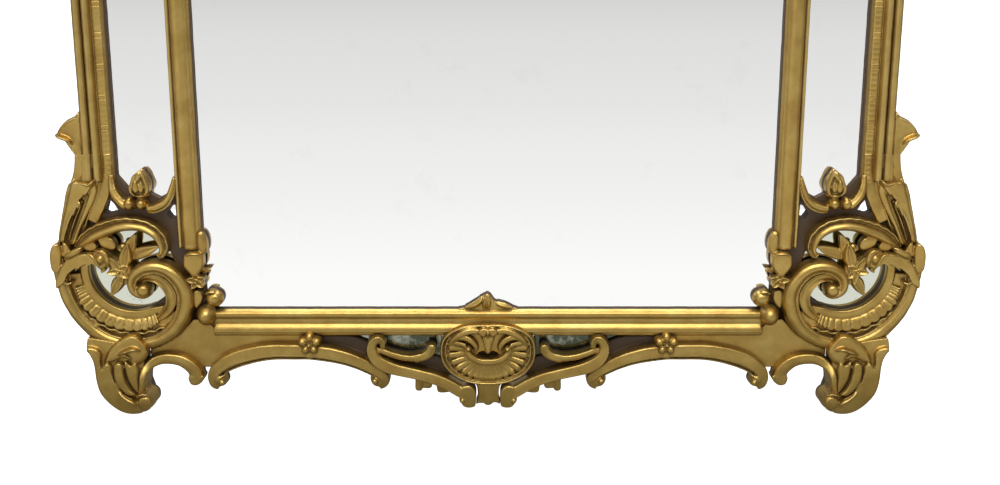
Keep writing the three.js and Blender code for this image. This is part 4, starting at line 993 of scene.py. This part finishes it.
carve_pair("apron_scroll", s_scroll, voxel=1.0, smooth=2)

# %% [markdown]
# In the middle hangs a shell. Its rim is a double line, its ribs fan out from under a crescent
# lip, two curls part above the lip, and a small palmette stands between them over a dark hollow.

# %% Shell of the apron
shell = Clay()
SHELL = (0, 87)
half_rim = [
    (0, 128.5), (20, 128), (39, 124.5), (54, 117.5), (64, 108), (68, 96), (68, 82), (64, 69), (54, 56.5),
    (40, 47), (22, 40.5), (0, 39)
]


def both_halves(right):
    """Closes a right half, drawn from top to bottom or back, with its mirror image."""
    return right + [(-u, z) for u, z in reversed(right[1:-1])]


def on_side(hand, rows):
    """Rows drawn for the right, or mirrored for the left when hand is -1."""
    return [(hand * u, *columns) for u, *columns in rows]


def within(share, *columns):
    """The rim's outline, drawn in towards the middle of the shell."""
    return [(u * share, SHELL[1] + (z - SHELL[1]) * share, *columns) for u, z in rim]


rim = both_halves(half_rim)


shell.board(rim, 34, 36)
dark_hollow = [(-14, 78), (-15, 84), (-8, 88), (0, 86), (8, 88), (15, 84), (14, 78), (0, 75)]
shell.board(rim, 34, 47, (dark_hollow,))
shell.strip(within(0.965, 2.8, 55), back=36, closed=True)
shell.strip(within(0.885, 1.7, 52), back=36, closed=True)
SHELL_RIBS = 17
for i in range(SHELL_RIBS):
    angle = math.radians(172 + 196 * i / (SHELL_RIBS - 1))
    way = (math.cos(angle), math.sin(angle))
    reach = 1 / math.hypot(way[0] / 57, way[1] / 41)
    middle = max(0, 1 - abs(i - (SHELL_RIBS - 1) / 2) / 3)
    stations = [(0.36, 2.2, 49.5), (0.6, 3.2, 51.5), (0.82, 4.2, 53.5), (0.94, 4.4, 55), (1.01, 3, 52)]
    shell.strip([
        (way[0] * reach * share, SHELL[1] + way[1] * reach * share, half * (1 + 0.15 * middle), front)
        for share, half, front in stations
    ], FLAT, 40, step=2)
lip_half = [
    (0, 70), (15, 72), (26, 79), (33.5, 89), (32, 97), (28, 98.5), (24.5, 96), (25, 91), (21, 85.5),
    (12, 80.5), (0, 79.5)
]
shell.relief(both_halves(lip_half), 62, 40, soft=2.6)
for hand in (-1, 1):
    shell.strip(on_side(hand, [
        (4, 119, 3, 56), (13, 119.5, 4, 59), (25, 120, 4.4, 60), (37, 116, 4.2, 60), (48, 108, 3.6, 58),
        (54, 99, 2.6, 55)
    ]), FLAT, 40)
    shell.strip(on_side(hand, [
        (48, 105.5, 1.6, 56), (40, 109.5, 3, 58.5), (30, 109.5, 4, 60), (22, 104.5, 4, 61),
        (17.5, 97, 3.4, 60), (17, 90, 2, 58)
    ]), FLAT, 40)
    shell.strip(on_side(hand, [
        (57, 98, 1.6, 53), (49, 101, 2.8, 55), (40, 101, 3.2, 57), (32, 98.5, 3, 58)
    ]), FLAT, 40)
    shell.dome(hand * 27.5, 94.5, 5, 5, 65, back=44, swell=2.6)
    shell.relief(on_side(hand, [(1, 123), (8, 125), (14, 121), (12, 115.5), (5, 113)]), 63, 40, soft=2.6)
shell.relief([
    (-9, 114), (-6.6, 104), (-4.6, 95), (-3.6, 89), (0, 86.5), (3.6, 89), (4.6, 95), (6.6, 104), (9, 114)
], 59, 36, soft=3)
shell.strip([(0, 126, 1.4, 62), (0, 119, 2.6, 66), (0, 112, 2, 64)], back=50)
for hand in (-1, 1):
    shell.strip(on_side(hand, [(6, 111, 1.2, 60), (5, 104, 1.8, 61.5), (3, 94, 1.2, 60)]), back=50)
shell.relief([
    (-19, 45), (-16, 33), (-15, 19), (-17.5, 7.5), (-12, 9), (-8, 9.5), (-3, 5.5), (3, 5.5), (8, 9.5),
    (12, 9), (17.5, 7.5), (15, 19), (16, 33), (19, 45)
], 48, 28)
carve_one("apron_shell", shell, voxel=0.9, smooth=2)

# %% [markdown]
# A little leaf stands on the rail and lies against the glass, where the eye looks for the middle.

# %% Leaf over the bottom rail
sight = Clay()
sight.relief([
    (-44, 147), (-33, 150), (-23, 154), (-16, 159), (-11, 165), (-4, 169.5), (2, 169.5), (6, 165),
    (10, 159.5), (17, 157.5), (25, 155), (33, 151.5), (44, 147), (30, 145), (-30, 145)
], 38, ON_GLASS, soft=2.4)
sight.strip([(-32, 149.5, 2, 40), (-21, 153, 4.2, 44), (-12, 159, 4, 45), (-8.5, 165, 2.2, 42)], BLADE, 32)
sight.strip([(34, 149.5, 2, 40), (23, 152.5, 4, 43), (13, 156, 3.2, 43)], BLADE, 32)
sight.strip([(-2, 149, 4.6, 41), (-2, 156, 5.8, 46), (-1, 165, 3.6, 44), (-1, 170, 1.4, 41)], PETAL, 32)
carve_one("sight_leaf", sight, voxel=0.9, smooth=2)

# %% [markdown]
# ## Stiles and rails
# Mouldings are run with a plane, not carved in the round, so they are drawn as one section pulled
# along a line. The ribs of the outer stile are cut across its band afterwards, 7 mm apart, and two
# in every six are cut deep.

# %% Moulded members
SIGHT_U = 400
SIDE_OUTER_U = 514
INNER_STILE, OUTER_STILE = 34, 44
SIGHT_BOTTOM = 156
LIP = 30.4
STILE_BACK = 14.3
RAIL_GAP = 0.5
MOULDING_HAND_MM = 0.25
SHALLOW_RIB = 0.35
RAIL_RADIUS = 900
CROWN_Z = 660
STILE_FOOT_Z = 335
INNER_FOOT_Z = 238


def half_round(start, end, base, top, steps=9):
    """Points of a roll from start to end across, that rises from base to top."""
    return [((start + end) / 2 - (end - start) / 2 * math.cos(math.pi * k / steps),
             base + (top - base) * math.sin(math.pi * k / steps)) for k in range(steps + 1)]


def moulded(name, path, section, ribs=None):
    """Runs a section of (across, depth) along a path of (u, z, left u, left z). ribs names the
    stretch across that is cut, its depth and its pitch."""
    points = []
    run = 0
    for i, (u, z, way_u, way_z) in enumerate(path):
        if i:
            run += math.dist(path[i][:2], path[i - 1][:2])
        cut = 0
        if ribs:
            low, high, deep, pitch = ribs
            beat = run / pitch
            share = 1 if int(beat / 2) % 3 == 2 else SHALLOW_RIB
            cut = deep * (1 - abs(math.sin(math.pi * beat)) ** 0.5) * share
        for across, height in section:
            on_band = ribs and low <= across <= high
            points.append((u + way_u * across, height - (cut if on_band else 0), z + way_z * across))
    size = len(section)
    faces = []
    for i in range(len(path) - 1):
        for k in range(size):
            nxt = (k + 1) % size
            faces.append((i * size + k, i * size + nxt, (i + 1) * size + nxt, (i + 1) * size + k))
    faces.append(tuple(reversed(range(size))))
    faces.append(tuple(range((len(path) - 1) * size, len(path) * size)))
    piece = link(name, row_mesh(name, points, faces))
    hand_carved(piece.data, MOULDING_HAND_MM)
    return piece


def crown_height(u, radius):
    """How high a circle of the arch is at u."""
    return CROWN_Z + math.sqrt(radius**2 - u**2)


OUTER_FACE = (
    [(0, LIP), (0, 34), (3, 36.5), (5, 37), (6, 40)] + [(a, 41.5) for a in np.linspace(6.6, 16.8, 8)]
    + [(17.6, 40), (18.4, 38.5)] + half_round(19, 30.5, 43, 51.5)
    + [(31, 40.5)] + half_round(31.5, 43.7, 42, 50)
    + [(OUTER_STILE, 40), (OUTER_STILE, STILE_BACK), (12, STILE_BACK), (12, LIP)])
INNER_FACE = (
    [(0, LIP), (0, 35), (2, 37), (4, 38)] + half_round(4.5, 27.5, 40, 52, 14)
    + [(28, 41), (29, 42.5), (30.5, 43.5), (32.5, 43), (INNER_STILE, 39), (INNER_STILE, LIP)])


def sawn(piece, u, z, across_u, across_z):
    """Saws off what lies beyond the line through (u, z), and closes the cut."""
    cut = bmesh.new()
    cut.from_mesh(piece.data)
    everything = cut.verts[:] + cut.edges[:] + cut.faces[:]
    bmesh.ops.bisect_plane(cut, geom=everything, plane_co=(u * MM, 0, (z - FEET_BELOW_ORIGIN) * MM),
                           plane_no=(across_u, 0, across_z), clear_outer=True)
    bmesh.ops.contextual_create(cut, geom=[edge for edge in cut.edges if edge.is_boundary])
    cut.to_mesh(piece.data)
    cut.free()
    return piece


def upright(stands_for, sight_u, width, section, foot_z, ribs=None):
    """A pair of stiles, sawn off just under the arch at its slope there."""
    top = crown_height(sight_u, RAIL_RADIUS) - RAIL_GAP
    slope = (crown_height(sight_u + width, RAIL_RADIUS) - RAIL_GAP - top) / width
    heights = np.arange(foot_z, top + 4, 1.0 if ribs else 4.0)
    piece = moulded(stands_for, [(sight_u, z, 1, 0) for z in heights], section, ribs)
    pair(sawn(piece, sight_u, top, -slope, 1), stands_for, gilt)


upright("outer_stile", SIDE_OUTER_U, OUTER_STILE, OUTER_FACE, STILE_FOOT_Z, (6.3, 17, 1.3, RIB_PITCH))
upright("inner_stile", SIGHT_U, INNER_STILE, INNER_FACE, INNER_FOOT_Z)

RAIL_HALF = 390
RAIL_FACE = [
    (7, LIP), (8.6, 36), (10.6, 41), (12.4, 43.4), (13.8, 44.8), (18.6, 45), (19.6, 44.2), (20.2, 41.6),
    (23, 40.6), (26, 40.8), (29, 41.6), (30.4, 42.2), (31, 43.2), (39.4, 48.8), (40.2, 48.4), (40.8, 42),
    (42.2, 41), (44.6, 42), (47, 40.4), (47.2, LIP)
]
bottom_line = [(u, SIGHT_BOTTOM, 0, -1) for u in np.linspace(-RAIL_HALF, RAIL_HALF, 260)]
bottom = moulded("bottom_rail", bottom_line, RAIL_FACE)
bottom.data.flip_normals()
keep(bottom, "bottom_rail", gilt)

TOP_FACE = (
    [(0, LIP), (0, 35), (4, 37), (6, 42)] + half_round(6.5, 13, 43, 47, 6)
    + [(14, 40.5), (18, 40.5), (23, 44)] + half_round(25, 38, 44, 52)
    + [(39, 41), (41, 42), (44, 40), (44, LIP)])
FRAME_EDGE = SIDE_OUTER_U + OUTER_STILE
crown_end = math.asin((FRAME_EDGE + 2) / RAIL_RADIUS)
crown_path = [(RAIL_RADIUS * math.sin(a), CROWN_Z + RAIL_RADIUS * math.cos(a), math.sin(a), math.cos(a))
              for a in np.linspace(-crown_end, crown_end, 240)]
crown = moulded("top_rail", crown_path, TOP_FACE)
for hand in (-1, 1):
    sawn(crown, hand * FRAME_EDGE, 0, hand, 0)
keep(crown, "top_rail", gilt)
print("rails and stiles run")

# %% [markdown]
# A leaf turns out from each outer stile and rolls over at its tip. It breaks the long plain line of
# the stile just above the corner.

# %% Ear on the outer stile
ear = Clay()
ear.relief([
    (556, 427), (566, 423), (575, 419.5), (583, 412.5), (588.5, 405.5), (591, 398.5), (586, 393.5),
    (577, 390.5), (571, 386.5), (568, 379), (567, 366), (556, 360)
], 46, 22, soft=5)
ear.strip([(558, 424, 1.4, 46), (568, 419.5, 2.4, 48), (578, 414, 2.6, 48), (586, 405, 1.6, 47)], back=34)
ear.strip([
    (592, 399, 1.6, 50), (586.5, 397, 3.4, 56), (579, 394.5, 3.8, 57), (572.5, 391, 2.8, 55),
    (569, 386, 1.4, 51)
], back=34)
ear.strip([(562, 396, 4, 46), (562.5, 384, 4.5, 47), (562, 372, 5, 48), (563, 360, 4, 47)], FLAT, 30)
carve_pair("ear", ear, voxel=1.0)

# %% [markdown]
# ## Crest
# Nothing of the top shows in the reference, so it repeats what the apron says: a shell in the middle,
# long scrolls with leaves on the shoulders of the arch, and a curl over each corner.

# %% Crest shell
CREST = (0, 1630)
CREST_HALF, CREST_ABOVE, CREST_BELOW = 125, 186, 46
CREST_BACK = 21
CREST_LOBES = 16
BLADE_TURN = 22.5
BLADE_EDGE = 0.19
LOW_BLADE = 92
crest = Clay()


def crest_reach(angle):
    """How far the shell's edge is from its middle. Above it is tall, below it is flat."""
    high = CREST_ABOVE if math.sin(angle) > 0 else CREST_BELOW
    return 1 / math.hypot(math.cos(angle) / CREST_HALF, math.sin(angle) / high)


def crest_edge(share):
    """The lobed edge of the shell, drawn in to a share of its size."""
    edge = []
    for turn in np.linspace(-0.42, math.pi + 0.42, 120):
        lobe = 1 - 0.07 * (0.5 - 0.5 * math.cos(CREST_LOBES * turn))
        edge.append((CREST[0] + math.cos(turn) * crest_reach(turn) * share * lobe,
                     CREST[1] + math.sin(turn) * crest_reach(turn) * share * lobe))
    return edge


crest.board(crest_edge(0.97) + [(-80, 1602), (80, 1602)], CREST_BACK, 40)
for k in range(-1, 10):
    angle = math.radians(BLADE_TURN * k)
    way = (math.cos(angle), math.sin(angle))
    reach = crest_reach(angle) if 0 <= k <= 8 else LOW_BLADE
    side_reach = crest_reach(angle + (BLADE_EDGE if k < 4 else -BLADE_EDGE))
    half_blade = 0.175 * min(reach, side_reach)
    stations = [
        (0.16, 0.3, 52), (0.34, 0.42, 57), (0.55, 0.64, 61), (0.75, 0.86, 62), (0.9, 0.98, 59),
        (0.97, 0.8, 55), (1.0, 0.45, 50)
    ]
    crest.strip([
        (CREST[0] + way[0] * reach * share, CREST[1] + way[1] * reach * share, half_blade * wide, front)
        for share, wide, front in stations
    ], FLAT, 30, step=4)
crest.strip([
    (-66, 1641, 3, 58), (-56, 1631, 6, 64), (-38, 1624, 8.5, 67), (0, 1619, 10, 69), (38, 1624, 8.5, 67),
    (56, 1631, 6, 64), (66, 1641, 3, 58)
], MAIN_ROLL, CREST_BACK)
for hand in (-1, 1):
    crest.dome(hand * 62, 1640, 9, 9, 66, back=30, swell=3)
    petal(crest, (hand * 10, 1642), (hand * 34, 1668), 9, 70, 50, lift=2)
petal(crest, (0, 1640), (0, 1686), 12, 72, 50, lift=3)
crest.dome(0, 1645, 14, 14, 74, back=40)
carve_one("crest_shell", crest, voxel=1.3)

# %% [markdown]
# The shoulder scrolls follow the arch, so their points are given as a share of the way from the
# shell to the corner, and a height above the rail.

# %% Shoulders of the arch
CREST_FROM, CREST_TO = 139, 404
RAIL_TOP_RADIUS = 944


def on_shoulder(share, height, *columns):
    """A point over the arch, with further columns."""
    u = CREST_FROM + share * (CREST_TO - CREST_FROM)
    return (u, crown_height(u, RAIL_TOP_RADIUS) + height, *columns)


crest_line = [
    (0.1, 66, 5, 52), (0.03, 62, 8, 55), (0, 48, 10, 57), (0.04, 33, 12, 58), (0.12, 25, 13, 58),
    (0.24, 21, 14, 58), (0.4, 18, 14.5, 58), (0.56, 16, 14, 58), (0.72, 15.5, 13, 58), (0.86, 20, 11.5, 58),
    (0.96, 32, 10, 57), (0.99, 49, 8.5, 56), (0.94, 61, 7, 55), (0.87, 58, 5.5, 53)
]
crest_scroll = Clay()
crest_scroll.strip([on_shoulder(*row) for row in crest_line], MAIN_ROLL, 30, step=3)
crest_scroll.dome(*on_shoulder(0.12, 58), 10, 10, 58, back=30, swell=3)
crest_scroll.dome(*on_shoulder(0.88, 52), 9, 9, 57, back=30, swell=3)
for share in (0.3, 0.42, 0.54):
    petal(crest_scroll, on_shoulder(share, 12), on_shoulder(share - 0.13, 26), 6, 61, 50)
carve_pair("crest_scroll", crest_scroll, voxel=1.3)

crest_leaf = Clay()
crest_blades = [
    [(0.06, -2, 9, 30), (0.05, 30, 14, 34), (0.08, 62, 15, 36), (0.14, 86, 10, 38), (0.24, 101, 2, 40)],
    [(0.06, -2, 9, 30), (0.15, 34, 15, 35), (0.27, 56, 14, 37), (0.38, 67, 9, 38), (0.47, 68, 2, 40)],
    [(0.08, -2, 9, 30), (0.24, 28, 13, 34), (0.4, 42, 12, 36), (0.54, 46, 7, 38), (0.65, 42, 2, 39)],
]
for blade in crest_blades:
    crest_leaf.strip([on_shoulder(*row) for row in blade], PETAL, 17, step=3)
for lobe in ((0.02, 52, -0.03, 76), (0.16, 70, 0.26, 84), (0.28, 62, 0.34, 80), (0.2, 44, 0.3, 44),
             (0.42, 48, 0.5, 62)):
    petal(crest_leaf, on_shoulder(*lobe[:2]), on_shoulder(*lobe[2:]), 9, 36, 17)
carve_pair("crest_leaf", crest_leaf, voxel=1.3, finish=low_gilt)

# %% [markdown]
# Where the arch meets the stile, a roll drops over the corner and two leaves turn outwards. Their
# points are given from the corner.

# %% Curl over the upper corner
UPPER_CORNER = (FRAME_EDGE, crown_height(FRAME_EDGE, RAIL_TOP_RADIUS))


def off_corner(rows):
    """Rows measured from the upper corner, as rows on the frame."""
    return [(UPPER_CORNER[0] + du, UPPER_CORNER[1] + dz, *columns) for du, dz, *columns in rows]


shoulder = Clay()
shoulder.strip(off_corner([
    (-60, 41, 5, 50), (-46, 38, 8, 55), (-28, 32, 10, 58), (-10, 22, 11.5, 60), (6, 6, 12, 61),
    (16, -16, 11.5, 61), (18, -40, 10, 60), (12, -60, 8, 58), (13, -74, 6, 55)
]), MAIN_ROLL, 20)
shoulder.dome(UPPER_CORNER[0] + 14, UPPER_CORNER[1] - 68, 8, 8, 60, back=24, swell=3)
shoulder.strip(off_corner([
    (-8, 24, 4, 44), (6, 22, 9, 49), (22, 14, 11, 52), (34, 0, 9, 53), (40, -14, 5, 53), (41, -22, 1.5, 52)
]), PETAL, 20)
shoulder.strip(off_corner([(12, 6, 4, 44), (24, -2, 7, 50), (31, -14, 6, 52), (32, -28, 2, 50)]), PETAL, 20)
carve_pair("shoulder", shoulder, voxel=1.2)

# %% [markdown]
# ## Studio
# The mirror stands on white paper. The camera sees pure white behind it. The glass and the gilt reflect the
# paper in front of the mirror as painted light: a painted shadow close to the mirror, a painted band of
# light, and a fall-off to grey away from it. The gilt also reflects a grey room with a bright ceiling.

# %% World, floor and lights
WHITE = (1, 1, 1, 1)
world = bpy.data.worlds.new("studio")
bpy.context.scene.world = world
world.use_nodes = True
tree = world.node_tree
sky = tree.nodes["Background"]
light_path = node(tree, "ShaderNodeLightPath")
towards = node(tree, "ShaderNodeTexCoord").outputs["Generated"]
up = node(tree, "ShaderNodeSeparateXYZ", Vector=towards)
room = ramp(tree, spread(tree, up.outputs["Z"], -1.0, 1.0, 0.0, 1.0),
            [(0.0, "#6b6a68"), (0.45, "#7e7d7b"), (0.6, "#9a9a99"), (1.0, "#d8d8d8")])
tree.links.new(blend(tree, light_path.outputs["Is Camera Ray"], room, WHITE), sky.inputs["Color"])

FLOOR_HALF = 15
floor_corners = [(x * FLOOR_HALF, y * FLOOR_HALF, -FEET_BELOW_ORIGIN * MM)
                 for x, y in ((-1, -1), (1, -1), (1, 1), (-1, 1))]
floor_mesh = bpy.data.meshes.new("floor")
floor_mesh.from_pydata(floor_corners, [], [(0, 1, 2, 3)])
floor = link("floor", floor_mesh)
paper, tree, shader = material("white_studio_floor")
floor_mesh.materials.append(paper)
light_path = node(tree, "ShaderNodeLightPath")
place = node(tree, "ShaderNodeTexCoord").outputs["Object"]
away = node(tree, "ShaderNodeSeparateXYZ", Vector=place)
# What glass and gilt see of the floor: a painted shadow close to the mirror, a painted band of light beyond
# it, and a fall-off to grey further out.
painted_floor_light_and_shadow = ramp(tree, spread(tree, away.outputs["Y"], 0.0, -12.0, 0.0, 1.0),
                   [(0.0, "#848480"), (0.02, "#a8a8a0"), (0.036, "#ffffff"), (0.06, "#ffffff"),
                    (0.12, "#f5f5f5"), (0.27, "#e8e8e8"), (0.8, "#d8d8d8")])
shader.inputs["Base Color"].default_value = hex_colour("#e4e4e4")
shader.inputs["Roughness"].default_value = 0.9
glow = node(tree, "ShaderNodeEmission", Color=painted_floor_light_and_shadow, Strength=1.0)
lit = node(tree, "ShaderNodeEmission", Color=WHITE, Strength=1.0)
both = node(tree, "ShaderNodeAddShader", _0=shader.outputs["BSDF"], _1=lit.outputs["Emission"])
camera_mix = node(tree, "ShaderNodeMixShader", _0=light_path.outputs["Is Camera Ray"],
                  _1=shader.outputs["BSDF"], _2=both.outputs["Shader"])
glossy_mix = node(tree, "ShaderNodeMixShader", _0=light_path.outputs["Is Glossy Ray"],
                  _1=camera_mix.outputs["Shader"], _2=glow.outputs["Emission"])
tree.links.new(glossy_mix.outputs["Shader"], tree.nodes["Material Output"].inputs["Surface"])


def softbox(name, place, aim, size, power):
    """A square studio light, pointed at a place."""
    data = bpy.data.lights.new(name, "AREA")
    data.shape = "RECTANGLE"
    data.size, data.size_y = size
    data.energy = power
    lamp = bpy.data.objects.new(name, data)
    lamp.location = place
    lamp.rotation_euler = (Vector(aim) - Vector(place)).to_track_quat("-Z", "Y").to_euler()
    bpy.context.scene.collection.objects.link(lamp)


softbox("overhead", (0, -1.3, 2.6), (0, 0, 0.2), (2.4, 1.2), 60)
softbox("front_left", (-2.2, -2.4, 1.4), (0, 0, 0.1), (1.2, 1.2), 10)

# %% Finish
bpy.context.scene.view_settings.view_transform = "Standard"
